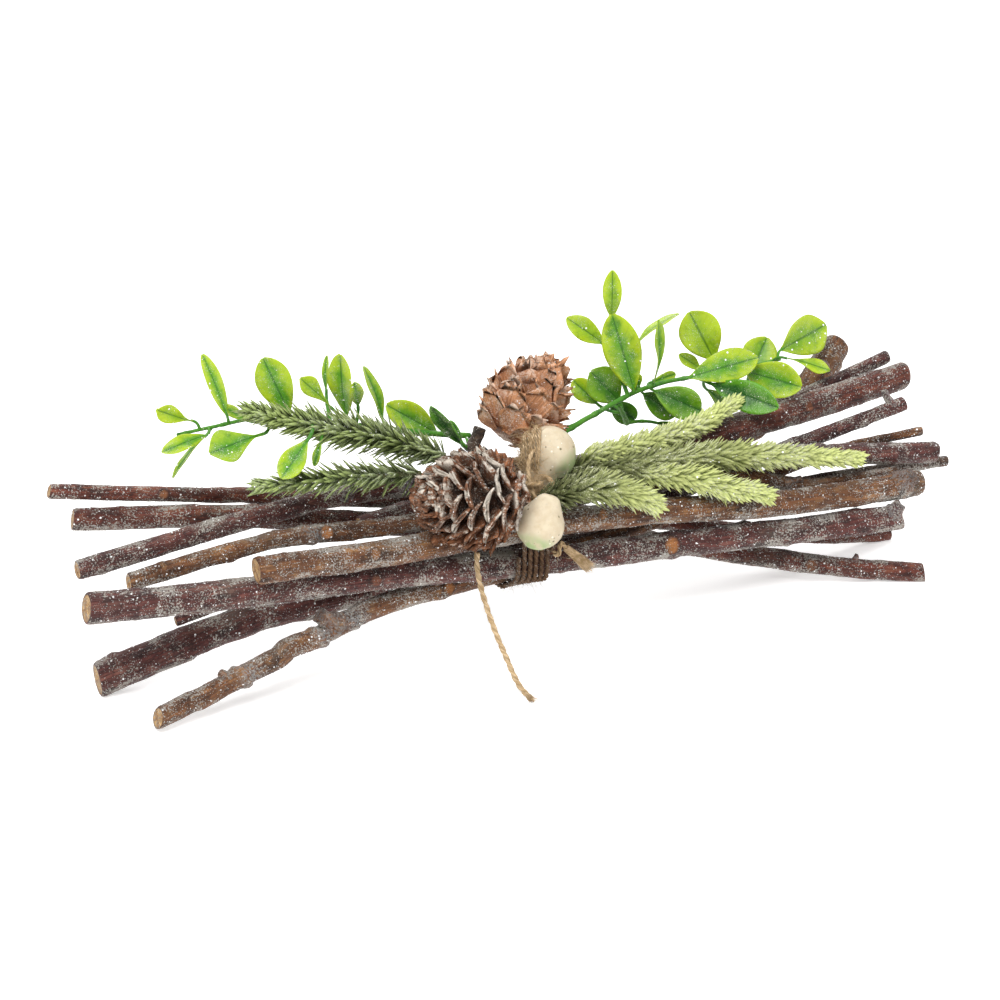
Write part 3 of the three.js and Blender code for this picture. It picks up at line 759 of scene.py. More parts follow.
@dataclass(frozen=True)
class LeafFinish(Finish):
    """A smooth leaf, greener along its rib and yellower at its edge."""

    deep: Colour = (0.006, 0.078, 0.003)
    green: Colour = (0.070, 0.255, 0.006)
    lime: Colour = (0.36, 0.48, 0.008)

    def colour(self, wiring: Wiring, shared: SharedEffects) -> tuple[object, object]:
        """The colour and the height of the blade."""
        w = wiring
        place = w.add("TexCoord").outputs["Object"]
        edge, tone, share = w.mark("edge"), w.mark("tone"), w.mark("tip")
        cloud = w.noise(place, 260.0, 5.0, 0.65)
        middle = w.mix(w.step(tone, 0.0, 0.6), self.deep, self.green)
        middle = w.mix(w.step(tone, 0.6, 1.4), middle, self.lime)
        rim = w.mix(w.step(tone, 0.0, 0.75), (0.09, 0.29, 0.006), self.lime)
        spread = w.math("ADD", w.math("MULTIPLY", edge, 0.62), w.math("MULTIPLY", cloud, 0.9))
        spread = w.math("ADD", spread, w.math("MULTIPLY", share, 0.35))
        blade = w.mix(w.step(spread, 0.66, 1.25), middle, rim)
        blade = w.mix(w.step(cloud, 0.46, 0.30, 0.0, 0.35), blade, self.deep)
        blade = w.mix(w.step(edge, 0.90, 0.99, 0.0, 0.7), blade, rim)
        slant = w.math("SUBTRACT", w.math("MULTIPLY", share, 52.0), w.math("MULTIPLY", edge, 11.0))
        vein = w.step(w.math("SINE", slant), 0.72, 1.0)
        rib = w.step(edge, 0.10, 0.02)
        lines = w.math("MAXIMUM", w.math("MULTIPLY", vein, 0.10), w.math("MULTIPLY", rib, 0.65))
        blade = w.mix(lines, blade, self.deep)
        ripple = w.noise(place, 700.0, 3.0)
        height = w.math("SUBTRACT", w.math("ADD", cloud, ripple), w.math("MULTIPLY", lines, 0.8))
        return blade, height

    def tune(self, shader: bpy.types.Node) -> None:
        """Gives the leaf its thin waxy coat."""
        shader.inputs["Subsurface Weight"].default_value = 0.15
        shader.inputs["Subsurface Radius"].default_value = (0.002, 0.003, 0.0006)


@dataclass(frozen=True)
class GrainFinish(Finish):
    """White grains of frost or glitter."""

    white: Colour = (0.50, 0.49, 0.47)
    # How much the grains glow, a painted sparkle.
    glow: float = 0.0

    def colour(self, wiring: Wiring, shared: SharedEffects) -> tuple[object, object]:
        """The colour and the height of the grains."""
        w = wiring
        place = w.add("TexCoord").outputs["Object"]
        cloud = w.noise(place, 1200.0, 2.0)
        dull = tuple(0.72 * part for part in self.white)
        return w.mix(w.step(cloud, 0.3, 0.7), dull, self.white), cloud

    def tune(self, shader: bpy.types.Node) -> None:
        """Makes the grains glow as much as their glow value, a painted sparkle."""
        shader.inputs["Emission Color"].default_value = (1.0, 1.0, 1.0, 1.0)
        shader.inputs["Emission Strength"].default_value = self.glow


class Bark(Enum):
    """The barks in the bundle."""

    PURPLE = BarkFinish(
        "bark_purple", frost=0.9, frost_grain=1900.0, frost_haze=0.05, roughness=0.6, bump=0.9,
        dark=(0.017, 0.006, 0.006), middle=(0.082, 0.022, 0.019), light=(0.195, 0.078, 0.058), lichen=0.3,
    )
    RED = BarkFinish(
        "bark_red", frost=0.8, frost_grain=1900.0, frost_haze=0.05, roughness=0.6, bump=0.9,
        dark=(0.021, 0.007, 0.006), middle=(0.112, 0.026, 0.017), light=(0.235, 0.080, 0.042), lichen=0.2,
    )
    OCHRE = BarkFinish(
        "bark_ochre", frost=0.8, frost_grain=1900.0, frost_haze=0.05, roughness=0.65, bump=0.9,
        dark=(0.030, 0.013, 0.008), middle=(0.145, 0.056, 0.022), light=(0.31, 0.155, 0.060), lichen=0.35,
    )
    STALK = BarkFinish(
        "bark_stalk", frost=0.45, roughness=0.75, bump=0.75,
        dark=(0.020, 0.012, 0.009), middle=(0.055, 0.033, 0.022), light=(0.12, 0.075, 0.045), lichen=0.2,
    )
    GREY = BarkFinish(
        "bark_grey", frost=1.1, frost_grain=1900.0, frost_haze=0.07, roughness=0.7, bump=0.9,
        dark=(0.020, 0.012, 0.010), middle=(0.080, 0.038, 0.028), light=(0.19, 0.115, 0.080), lichen=0.6,
    )


class Dress(Enum):
    """The finishes of everything but the bark."""

    PALE_JUTE = JuteFinish("jute_pale", roughness=0.9, bump=0.6)
    DULL_JUTE = JuteFinish(
        "jute_dull", frost=0.5, roughness=0.9, bump=0.6, pale=(0.25, 0.145, 0.08), deep=(0.08, 0.042, 0.024),
    )
    DARK_SCALE = ScaleFinish("scale_dark", frost=0.55, roughness=0.75, bump=0.6)
    PALE_SCALE = ScaleFinish(
        "scale_pale", frost=0.8, frost_tint=(0.66, 0.52, 0.42), roughness=0.7, bump=0.5,
        inner=(0.16, 0.06, 0.025), outer=(0.62, 0.31, 0.16), warm=(0.70, 0.30, 0.13), rim=(0.74, 0.53, 0.40),
    )
    WAX = WaxFinish("berry_wax", frost=0.12, roughness=0.42, bump=0.25)
    GREY_FIR = NeedleFinish(
        "needles_grey", frost=0.8, frost_tint=(0.42, 0.47, 0.30), bump=0.2,
        foot=(0.075, 0.105, 0.028), tip=(0.40, 0.50, 0.165), old_and_shaded=(0.060, 0.070, 0.032),
    )
    PALE_FIR = NeedleFinish(
        "needles_pale", frost=0.66, frost_tint=(0.54, 0.56, 0.36), bump=0.2,
        foot=(0.20, 0.26, 0.07), tip=(0.67, 0.73, 0.27), old_and_shaded=(0.060, 0.066, 0.024),
    )
    LEAF = LeafFinish(
        "boxwood_leaf", frost=0.5, frost_grain=3400.0, frost_patch=200.0, frost_haze=0.12,
        frost_tint=(0.46, 0.54, 0.34), roughness=0.34, bump=0.6, shine=0.35,
    )
    STEM = LeafFinish(
        "boxwood_stem", frost=0.25, roughness=0.5, green=(0.035, 0.16, 0.03), lime=(0.08, 0.24, 0.04),
    )
    FROST = GrainFinish("frost_grains", roughness=0.6)
    # The glitter grains glow a little: painted sparkle.
    GLITTER = GrainFinish("glitter_grains", roughness=0.3, white=(0.95, 0.95, 0.95), glow=0.25)


class Dusting(Enum):
    """How many bright grains a surface holds, as a share of the number of its faces."""

    NEEDLES = 0.012
    SCALES = 0.02
    WAX = 0.004
    LEAVES = 0.01


Dusted = tuple[bpy.types.Object, Dusting]


# ---- Twigs ----


@dataclass(frozen=True)
class Scar:
    """A round knot where a side branch was cut: its share of the twig, its side and its size."""

    share: float
    angle: float
    size: float
    rust: float = 1.0


@dataclass(frozen=True)
class Spur:
    """The rest of a side branch, from the middle of the twig outwards."""

    share: float
    towards: Point
    long: float
    half: float
    rust: float = 0.0


@dataclass(frozen=True)
class Collar:
    """An ashy ring where the twig stopped and started again: its share of the twig and its height."""

    share: float
    high: float = 0.5


@dataclass
class Twig:
    """One cut twig with its nodes, knots, furrows and sawn ends."""

    node: str
    bark: Bark
    slants: tuple[float, float] = (8.0, -6.0)
    scars: tuple[Scar, ...] = ()
    spurs: tuple[Spur, ...] = ()
    collars: tuple[Collar, ...] = ()
    step: float = 0.8

    def measure(self) -> None:
        """Reads the twig's middle line and thickness from its plain solid."""
        line, half = Solid(self.node).middle_line(0, 90)
        along = run_of(line)
        self.line = evenly(line, self.step)
        self.run = run_of(self.line)
        self.half = np.interp(self.run, along * self.run[-1] / along[-1], half)
        self.along, self.side, self.up = frames_on(self.line)
        self.sides = 36 if self.half.mean() > 3 else 26

    def at(self, x: float) -> tuple[Array, float]:
        """The middle and the half thickness of the twig where it passes a place along the bundle."""
        middle = np.array([np.interp(x, self.line[:, 0], self.line[:, k]) for k in range(3)])
        return middle, float(np.interp(x, self.line[:, 0], self.half))

    def relief(self, angle: Array, grain: Array) -> tuple[Array, Array]:
        """How far the bark stands out or in.

        Args:
            angle: the angle round the twig of each side.
            grain: the place of each point in the twig's own space.

        Returns:
            The relief, and how deep each point lies in a furrow, which sets the painted shade there.
        """
        rng = dice(self.node)
        seed = int(rng.integers(1000))
        half = self.half[:, None]
        run = self.run[:, None]
        lumps = half * (0.07 * noise(grain, 15, seed) + 0.04 * noise(grain, 5.5, seed + 1))
        furrows = noise(grain * np.array([0.14, 1, 1]), 1.5, seed + 2)
        fine = noise(grain * np.array([0.4, 1, 1]), 0.9, seed + 3)
        shape = lumps + 0.17 * furrows + 0.08 * fine
        place = rng.uniform(6, 16)
        turn = rng.uniform(0, math.tau)
        while place < self.run[-1] - 4:
            lean = np.angle(np.exp(1j * (angle - turn)))[None, :]
            away = run - place
            swell = np.where(away > 0, np.exp(-((away / 1.5) ** 2)), np.exp(-((away / 3.6) ** 2)))
            size = rng.uniform(0.08, 0.17)
            shape = shape + half * size * swell * np.exp(-((lean / 0.85) ** 2))
            shape = shape + half * rng.uniform(0.015, 0.05) * np.exp(-((away / 0.7) ** 2))
            place += rng.uniform(13, 30)
            turn += math.pi + rng.uniform(-0.7, 0.7)
        # The second value is painted shade, darkest deep in the furrows.
        return shape, np.clip(-furrows * 1.6 - 0.75, 0, 1) * 0.75

    def rings(self, angle: Array, grain: Array) -> tuple[Array, Array]:
        """The relief and the ash of the collars."""
        shape = np.zeros(grain.shape[:2])
        ash = np.zeros_like(shape)
        for collar in self.collars:
            wobble = 1.4 * noise(grain * np.array([0.1, 1, 1]), 2.5, 31)
            away = self.run[:, None] - collar.share * self.run[-1] - wobble - 1.2 * np.cos(angle)[None, :]
            shape += collar.high * np.exp(-((away / 1.3) ** 2)) - 0.5 * np.exp(-(((away - 1.6) / 0.5) ** 2))
            ash = np.maximum(ash, np.exp(-(((away - 1.2) / 3.2) ** 2)))
        return shape, ash

    def knots(self, angle: Array) -> tuple[Array, Array, Array]:
        """The relief, rusty colour and dark rim of the round knots."""
        shape = np.zeros((len(self.run), len(angle)))
        rust = np.zeros_like(shape)
        dark = np.zeros_like(shape)
        for scar in self.scars:
            here = scar.share * self.run[-1]
            half = np.interp(here, self.run, self.half)
            lean = np.angle(np.exp(1j * (angle - math.radians(scar.angle))))[None, :]
            away = np.hypot(self.run[:, None] - here, half * lean)
            shape += 0.55 * np.exp(-(((away - scar.size) / 0.7) ** 2))
            shape += 0.35 * np.exp(-((away / (scar.size * 1.9)) ** 2))
            shape -= 0.35 * np.exp(-((away / (scar.size * 0.6)) ** 2))
            rust = np.maximum(rust, scar.rust * smooth_step(scar.size * 1.05, scar.size * 0.7, away))
            dark = np.maximum(dark, 0.8 * np.exp(-(((away - scar.size * 1.25) / 0.5) ** 2)))
        return shape, rust, dark

    def build(self) -> Stock:
        """Builds the twig.

        Returns:
            The twig's surface, with its marks.
        """
        angle = full_turn(self.sides)
        half = self.half[:, None]
        grain = np.stack([
            np.broadcast_to(self.run[:, None], (len(self.run), self.sides)),
            half * np.cos(angle), half * np.sin(angle),
        ], -1)
        shape, hollow = self.relief(angle, grain)
        knot_shape, rust, dark = self.knots(angle)
        ring_shape, ash = self.rings(angle, grain)
        reach = half + shape + knot_shape + ring_shape
        outward = outwards(self.side, self.up, angle)
        rings = self.line[:, None, :] + outward * reach[..., None]
        rings = self.with_sawn_ends(rings)
        self.surface = rings
        self.outward = outward
        stock = Stock(("hollow", "knot", "cut", "reach", "ash"))
        # Painted shade in the furrows, together with the real dark rims of the knots.
        hollow = np.maximum(hollow, dark)
        stock.tube(rings, False, False, grain, hollow=hollow, knot=rust, reach=1.0, ash=ash)
        self.close_end(stock, rings[0], grain[0], True)
        self.close_end(stock, rings[-1], grain[-1], False)
        for spur in self.spurs:
            self.add_spur(stock, spur)
        return stock

    def with_sawn_ends(self, rings: Array) -> Array:
        """Slants the last rings at both ends and rounds their edge a little."""
        rings = rings.copy()
        for end, slant in ((0, self.slants[0]), (-1, self.slants[1])):
            middle = self.line[end]
            distance = self.run if end == 0 else self.run[-1] - self.run
            weight = np.clip(1 - distance / (2.5 * self.half[end]), 0, 1)[:, None, None]
            lift = ((rings - middle) @ self.up[end])[..., None] * math.tan(math.radians(slant))
            rings += weight * lift * self.along[end]
            rings[end] = middle + (rings[end] - middle) * 0.93
        return rings

    def close_end(self, stock: Stock, ring: Array, grain: Array, first: bool) -> None:
        """Closes an end with sawn wood inside a rim of bark."""
        middle = ring.mean(0)
        out = -self.along[0] if first else self.along[-1]
        shares = np.array([1.0, 0.92, 0.86, 0.62, 0.38, 0.16])
        lift = np.array([0.0, 0.12, -0.04, -0.02, 0.04, 0.02])
        rough = noise(ring, 1.6, 5)[None, :] * 0.14 * (1 - shares[:, None]) * 4
        rings = middle + (ring - middle)[None] * shares[:, None, None]
        rings = rings + out * (lift[:, None] + rough)[..., None]
        local = np.stack([np.broadcast_to(grain[:, k], (len(shares), len(ring))) for k in range(3)], -1)
        local = local * np.stack([np.ones(6), shares, shares], -1)[:, None, :]
        cut = np.array([0.0, 0.0, 1.0, 1.0, 1.0, 1.0])[:, None]
        order = slice(None, None, -1) if first else slice(None)
        stock.tube(rings[order], first, not first, local[order], cut=cut[order],
                   reach=shares[order, None])

    def add_spur(self, stock: Stock, spur: Spur) -> None:
        """Adds what is left of a side branch, flared where it leaves the twig."""
        place = spur.share * (len(self.line) - 1)
        root = self.line[round(place)]
        half = self.half[round(place)]
        way = unit(np.array(spur.towards))
        bend = 0.12 * spur.long * noise(root[None], 3.0, 7)[0] * self.along[round(place)]
        path = np.array([root, root + way * half, root + way * (spur.long + half * 0.2) + bend])
        line = evenly(through(path, 0.4), 0.4)
        along, side, up = carried_frames(line)
        distance = run_of(line)
        angle = full_turn(18)
        outward = outwards(side, up, angle)
        flare = 1 + 0.75 * np.exp(-((distance - half * 0.75).clip(0) / 1.3))
        rough = noise(line[:, None] + outward * spur.half, 1.5, 3)
        reach = spur.half * flare[:, None] * (1 + 0.24 * rough)
        reach[-1] *= 0.86
        rings = line[:, None] + outward * reach[..., None]
        rings[-1] += along[-1] * (noise(rings[-1], 1.1, 9) * 0.8)[:, None]
        run = np.broadcast_to(distance[:, None], reach.shape)
        grain = np.stack([run, reach * np.cos(angle), reach * np.sin(angle)], -1)
        end = (distance > distance[-1] - 0.5).astype(float)[:, None]
        rust = end * spur.rust
        stock.tube(rings, False, True, grain, knot=rust, hollow=end * 0.25, reach=1.0, ash=0.6)


@dataclass
class TwigBundle:
    """All the twigs, as they lie together."""

    twigs: tuple[Twig, ...] = (
        Twig("twig_01", Bark.RED, scars=(Scar(0.275, 30, 1.5), Scar(0.12, 20, 1.2, 0.5))),
        Twig("twig_02", Bark.RED, (6, -12), (Scar(0.865, 15, 1.9, 0.35),),
             (Spur(0.915, (0.4, -0.2, 1.0), 4.6, 0.8),)),
        Twig("twig_03", Bark.PURPLE, (4, 8), (Scar(0.55, 40, 1.6),),
             (Spur(0.3, (0.7, -0.5, 0.9), 5.0, 1.9),), (Collar(0.36, 0.35),)),
        Twig("twig_04", Bark.OCHRE, (10, -20), (Scar(0.24, 25, 1.9), Scar(0.43, 10, 1.6, 0.4)),
             (Spur(0.845, (0.9, -0.6, 0.4), 4.6, 1.1), Spur(0.70, (0.5, -0.3, -0.8), 4.2, 1.3)),
             (Collar(0.22, 0.5),)),
        Twig("twig_05", Bark.PURPLE, (6, -14), (Scar(0.7, 22, 2.3), Scar(0.33, 8, 1.7, 0.2)),
             (Spur(0.985, (0.6, -0.3, 0.9), 5.4, 2.0),)),
        Twig("twig_06", Bark.OCHRE, (-4, 6), (Scar(0.16, 25, 1.5, 0.6), Scar(0.5, 35, 1.4)),
             (Spur(0.965, (0.5, -0.5, 0.7), 5.8, 2.6),)),
        Twig("twig_07", Bark.PURPLE, (10, -4), (Scar(0.42, 30, 1.6, 0.3),),
             (Spur(0.985, (-0.5, 0.1, 1.0), 6.4, 1.1),), (Collar(0.33, 0.25),)),
        Twig("twig_08", Bark.OCHRE, (26, 4), (Scar(0.37, 15, 1.8), Scar(0.14, 40, 1.7, 0.0)),
             (Spur(0.095, (-0.9, -0.2, 0.7), 5.6, 1.2, 0.3), Spur(0.23, (-0.8, -0.25, 0.8), 8.0, 2.5)),
             (Collar(0.105, 0.9), Collar(0.205, 0.7), Collar(0.245, 0.4))),
        Twig("twig_09", Bark.PURPLE, (4, 6)),
        Twig("twig_10", Bark.OCHRE, (6, 4), (Scar(0.93, 20, 1.7, 0.2),),
             (Spur(0.95, (-0.3, -1.0, 0.4), 5.0, 1.7),)),
        Twig("twig_11", Bark.RED, (2, 10), (Scar(0.8, 30, 1.5, 0.2),)),
        Twig("twig_12", Bark.GREY, (3, 5)),
    )

    def measure(self) -> None:
        """Reads where every twig lies."""
        for twig in self.twigs:
            twig.measure()

    def build(self, shared: SharedEffects) -> None:
        """Builds and dresses every twig."""
        barks = dict.fromkeys(twig.bark for twig in self.twigs)
        finishes = {bark: bark.value.make(shared) for bark in barks}
        for twig in self.twigs:
            stock = twig.build()
            stock.make(twig.node + "_bark", finishes[twig.bark], "bark", (twig.node,))

    def waist_reach(self, x: float, middle: Array, angles: Array, gap: float) -> Array:
        """How far the outline round all twigs is from a middle, in each direction.

        Args:
            x: the place along the bundle.
            middle: the y and z that the directions start from.
            angles: the directions.
            gap: how far outside the twigs the outline runs.

        Returns:
            One distance for each direction.
        """
        facing = np.linspace(-math.pi, math.pi, 181)
        normals = np.stack([np.cos(facing), np.sin(facing)], -1)
        support = np.full(len(facing), -np.inf)
        for twig in self.twigs:
            if twig.line[0][0] < x < twig.line[-1][0]:
                place, half = twig.at(x)
                support = np.maximum(support, (place[1:] - middle) @ normals.T + half + gap)
        lean = np.cos(angles[:, None] - facing[None, :])
        return np.where(lean > 0.05, support / np.maximum(lean, 0.05), np.inf).min(1)


# ---- Twine ----


@dataclass(frozen=True)
class Twine:
    """Two strands of jute twisted together."""

    half: float
    pitch: float = 5.5
    sides: int = 14
    step: float = 0.35

    def lay(self, stock: Stock, line: Array, taper: float = 1.0, loosened: float = 0.0) -> Array:
        """Lays twine along a line.

        Args:
            stock: where its surface goes.
            line: the line's points.
            taper: its thickness at the far end, as a share of that at the start.
            loosened: how much of its end has come apart and is thin, in millimetres.

        Returns:
            The middle of each ring.
        """
        line = evenly(line, self.step)
        _, side, up = carried_frames(line)
        run = run_of(line)
        local = full_turn(self.sides)
        turned = local[None, :] + (run * math.tau / self.pitch)[:, None]
        lobes = np.abs(np.cos(local)) ** 0.8
        thin = np.linspace(1, taper, len(line))
        if loosened:
            thin = thin * (1 - 0.6 * smooth_step(run[-1] - loosened, run[-1], run))
        reach = self.half * (0.60 + 0.40 * lobes)[None, :] * thin[:, None]
        outward = side[:, None] * np.cos(turned)[..., None] + up[:, None] * np.sin(turned)[..., None]
        rough = 1 + 0.10 * noise(line[:, None] + outward * self.half, 0.5, 4)
        rings = line[:, None] + outward * (reach * rough)[..., None]
        grain = np.stack([np.broadcast_to(run[:, None], reach.shape),
                          np.broadcast_to(self.half * 3 * np.cos(local), reach.shape),
                          np.broadcast_to(self.half * 3 * np.sin(local), reach.shape)], -1)
        # The groove between the two strands gets painted shade.
        stock.tube(rings, True, True, grain, hollow=(1 - lobes) ** 3 * 0.8)
        return line

    def hairs(self, stock: Stock, line: Array, count: int, rng: np.random.Generator,
              longest: float = 5.0, pull: Array = NO_PULL) -> None:
        """Adds loose fibres that stand off the twine.

        Args:
            stock: where they go.
            line: the twine's line.
            count: how many.
            rng: the random source.
            longest: the longest one.
            pull: a direction that they all lean to.
        """
        along = unit(np.gradient(line, axis=0))
        for _ in range(count):
            i = int(rng.integers(len(line)))
            out = unit(np.cross(along[i], rng.normal(size=3)))
            long = rng.uniform(0.3, 1.0) * longest
            way = unit(out + along[i] * rng.uniform(-1.4, 1.4) + pull)
            curl = rng.normal(size=3) * long * 0.22
            share = np.linspace(0, 1, 6)[:, None]
            start = line[i] + out * self.half * 0.6
            path = start + way * long * share + curl * share * (share - 0.4) * 2
            self.fibre(stock, path, 0.06)

    def fibre(self, stock: Stock, path: Array, half: float) -> None:
        """Adds one thin fibre."""
        _, side, up = carried_frames(path)
        thin = (half * np.linspace(1, 0.35, len(path)))[:, None, None]
        stock.tube(path[:, None] + outwards(side, up, full_turn(3)) * thin, hollow=0.0)

    def fray(self, stock: Stock, start: Array, way: Array, long: float, spread: float, count: int,
             rng: np.random.Generator) -> None:
        """Adds an untwisted end of many fibres.

        Args:
            stock: where the fibres go.
            start: where the end begins.
            way: the direction that it points.
            long: its length.
            spread: how far its fibres part.
            count: how many fibres.
            rng: the random source.
        """
        way = unit(way)
        side = unit(np.cross(way, UP))
        over = np.cross(side, way)
        for _ in range(count):
            turn, share = rng.uniform(0, math.tau), math.sqrt(rng.uniform())
            off = side * math.cos(turn) * share + over * math.sin(turn) * share
            reach = long * rng.uniform(0.7, 1.05)
            step = np.linspace(0, 1, 6)[:, None]
            path = start + off * self.half * 0.75 + way * reach * step + off * spread * step**1.6
            path = path + side * np.sin(step * 7 + turn) * 0.12
            self.fibre(stock, path, rng.uniform(0.09, 0.17))


@dataclass
class TwineTail:
    """The long loose end, which hangs down the front and lies on the ground."""

    # The route around the tie, in metres.
    route: tuple[Point, ...] = (
        (-0.0175, -0.0224, 0.038), (-0.0178, -0.0228, 0.035), (-0.0178, -0.0235, 0.032),
        (-0.0176, -0.0244, 0.029), (-0.0173, -0.0257, 0.026), (-0.0169, -0.0272, 0.023),
        (-0.0165, -0.0289, 0.020), (-0.0160, -0.0308, 0.017), (-0.0155, -0.0329, 0.014),
        (-0.0149, -0.0352, 0.011), (-0.0143, -0.0377, 0.008), (-0.0138, -0.0403, 0.005),
        (-0.0134, -0.0430, 0.0028), (-0.0130, -0.0460, 0.0015), (-0.0126, -0.0492, 0.001),
        (-0.0123, -0.0525, 0.00095),
    )
    diameter: float = 0.0018
    frayed: float = 4.0

    def build(self, finish: bpy.types.Material) -> None:
        """Builds the loose end and its frayed tip."""
        rng = dice("twine_tail_long")
        route = np.array(self.route) / MM + TO_ORIGIN
        line = through(route, 0.4)
        stock = Stock(("hollow",))
        twine = Twine(self.diameter / MM / 2, pitch=6.5)
        centres = twine.lay(stock, line, loosened=self.frayed)
        cord = stock.make("twine_tail", finish, "jute", ("twine_tail_long",))
        loose = Stock(("hollow",))
        twine.hairs(loose, line[:-12], 46, rng, 2.6)
        way = unit(line[-1] - line[-8])
        twine.fray(loose, line[-1] - way * self.frayed, way, self.frayed, 1.1, 60, rng)
        fibres = loose.make("twine_tail_fibres", finish, "jute")


@dataclass
class TwineTie:
    """The turns round the waist, the short end, and the knot between the berries."""

    half: float = 0.8
    turns: int = 6
    pitch: float = 1.95
    start_x: float = -13.0
    middle: tuple[float, float] = (-3.2, 33.0)
    gap: float = 0.55
    # The half thickness of the upper berry, and of the loose strands that lie round it.
    berry_half: float = 8.3
    collar_half: float = 8.9
    collar_strands: int = 15
    short_end: tuple[Point, ...] = ((11.5, -20.0, 35.0), (14.5, -21.2, 31.0), (19.0, -22.0, 26.5))
    knot_low: Vector = field(default_factory=lambda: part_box("twine_knot")[0])
    knot_high: Vector = field(default_factory=lambda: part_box("twine_knot")[1])

    def wrap_line(self, bundle: TwigBundle) -> Array:
        """The line of the turns, drawn tight round the twigs."""
        turn = np.linspace(0, self.turns, self.turns * 60 + 1)
        angle = math.pi + turn * math.tau
        x = self.start_x + turn * self.pitch
        middle = np.array(self.middle)
        points = []
        for place, way in zip(x, angle):
            reach = bundle.waist_reach(place, middle, np.array([way]), self.half + self.gap)[0]
            points.append([place, middle[0] + reach * math.cos(way), middle[1] + reach * math.sin(way)])
        return np.array(points)

    def build(self, bundle: TwigBundle, dull: bpy.types.Material, pale: bpy.types.Material) -> None:
        """Builds the turns, the short end and the knot."""
        rng = dice("twine_tie")
        twine = Twine(self.half, pitch=4.5, sides=12, step=0.5)
        line = self.wrap_line(bundle)
        stock = Stock(("hollow",))
        twine.lay(stock, line)
        twine.hairs(stock, line, 620, rng, 3.4)
        stock.make("twine_turns", dull, "jute", ("twine_wrap",))
        end = np.array(self.short_end) + TO_ORIGIN
        path = through(np.vstack([line[-20], line[-1], end]), 0.4)
        strand = Stock(("hollow",))
        twine.lay(strand, path[:-14])
        way = unit(path[-1] - path[-12])
        Twine(1.5).fray(strand, path[-24], way, 11.5, 0.9, 170, rng)
        twine.hairs(strand, path, 40, rng, 3.0)
        strand.make("twine_short_end", pale, "jute")
        self.build_knot(pale, rng)

    def build_knot(self, finish: bpy.types.Material, rng: np.random.Generator) -> None:
        """Builds the knot as twine that passes over and under itself."""
        low, high = np.array(self.knot_low) / MM, np.array(self.knot_high) / MM
        centre, room = (low + high) / 2, (high - low) / 2 - self.half * 0.6
        turn = np.linspace(0, math.tau, 160)
        shape = np.stack([(np.sin(turn) + 2 * np.sin(2 * turn)) / 3, -np.sin(3 * turn),
                          (np.cos(turn) - 2 * np.cos(2 * turn)) / 3], -1)
        line = centre + shape * room
        twine = Twine(self.half, pitch=4.5, step=0.35)
        stock = Stock(("hollow",))
        twine.lay(stock, line)
        ends = (
            [centre, centre + [-3.0, -1.5, 2.5], centre + [-2.5, 1.0, 7.5], centre + [0.5, 4.0, 10.5]],
            [centre, centre + [1.8, -2.8, -2.5], centre + [2.4, -3.4, -6.5], centre + [1.0, -1.5, -11.0]],
            [centre, centre + [-5.0, -1.0, -1.5], centre + [-8.0, 1.0, -5.5]],
        )
        for route in ends:
            twine.lay(stock, through(np.array(route), 0.35), 0.8)
            twine.hairs(stock, through(np.array(route), 0.35), 70, rng, 5.0)
        twine.hairs(stock, line, 260, rng, 6.0, TOWARDS_FRONT * 0.4)
        self.add_collar(stock, twine, rng)
        stock.make("twine_knot_loops", finish, "jute", ("twine_knot",))

    def add_collar(self, stock: Stock, twine: Twine, rng: np.random.Generator) -> None:
        """Adds the strands that lie over the left of the upper berry and round the neck below it."""
        low, high = np.array(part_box("berry_upper")) / MM
        ball = np.array([high[0] - self.berry_half, (low[1] + high[1]) / 2, high[2] - self.berry_half])
        right, back = np.array([0.9135, -0.4067, 0.0]), np.array([0.16, 0.357, 0.92])
        for k in range(self.collar_strands):
            off = -2.8 - 0.42 * k + rng.normal(0, 0.1)
            ring = math.sqrt(max(self.collar_half**2 - off**2, 4.0)) + rng.uniform(0, 0.5)
            turn = np.radians(np.linspace(rng.uniform(55, 85), -100, 40))[:, None]
            wave = 0.5 * np.sin(turn * rng.uniform(1, 3) + k)
            line = ball + right * (off + wave) + ring * (np.cos(turn) * TOWARDS_FRONT + np.sin(turn) * back)
            Twine(rng.uniform(0.28, 0.42), pitch=3.8, sides=8).lay(stock, line)
            twine.hairs(stock, line, 40, rng, 4.6, TOWARDS_FRONT * 0.6)


# ---- Cones and berries ----


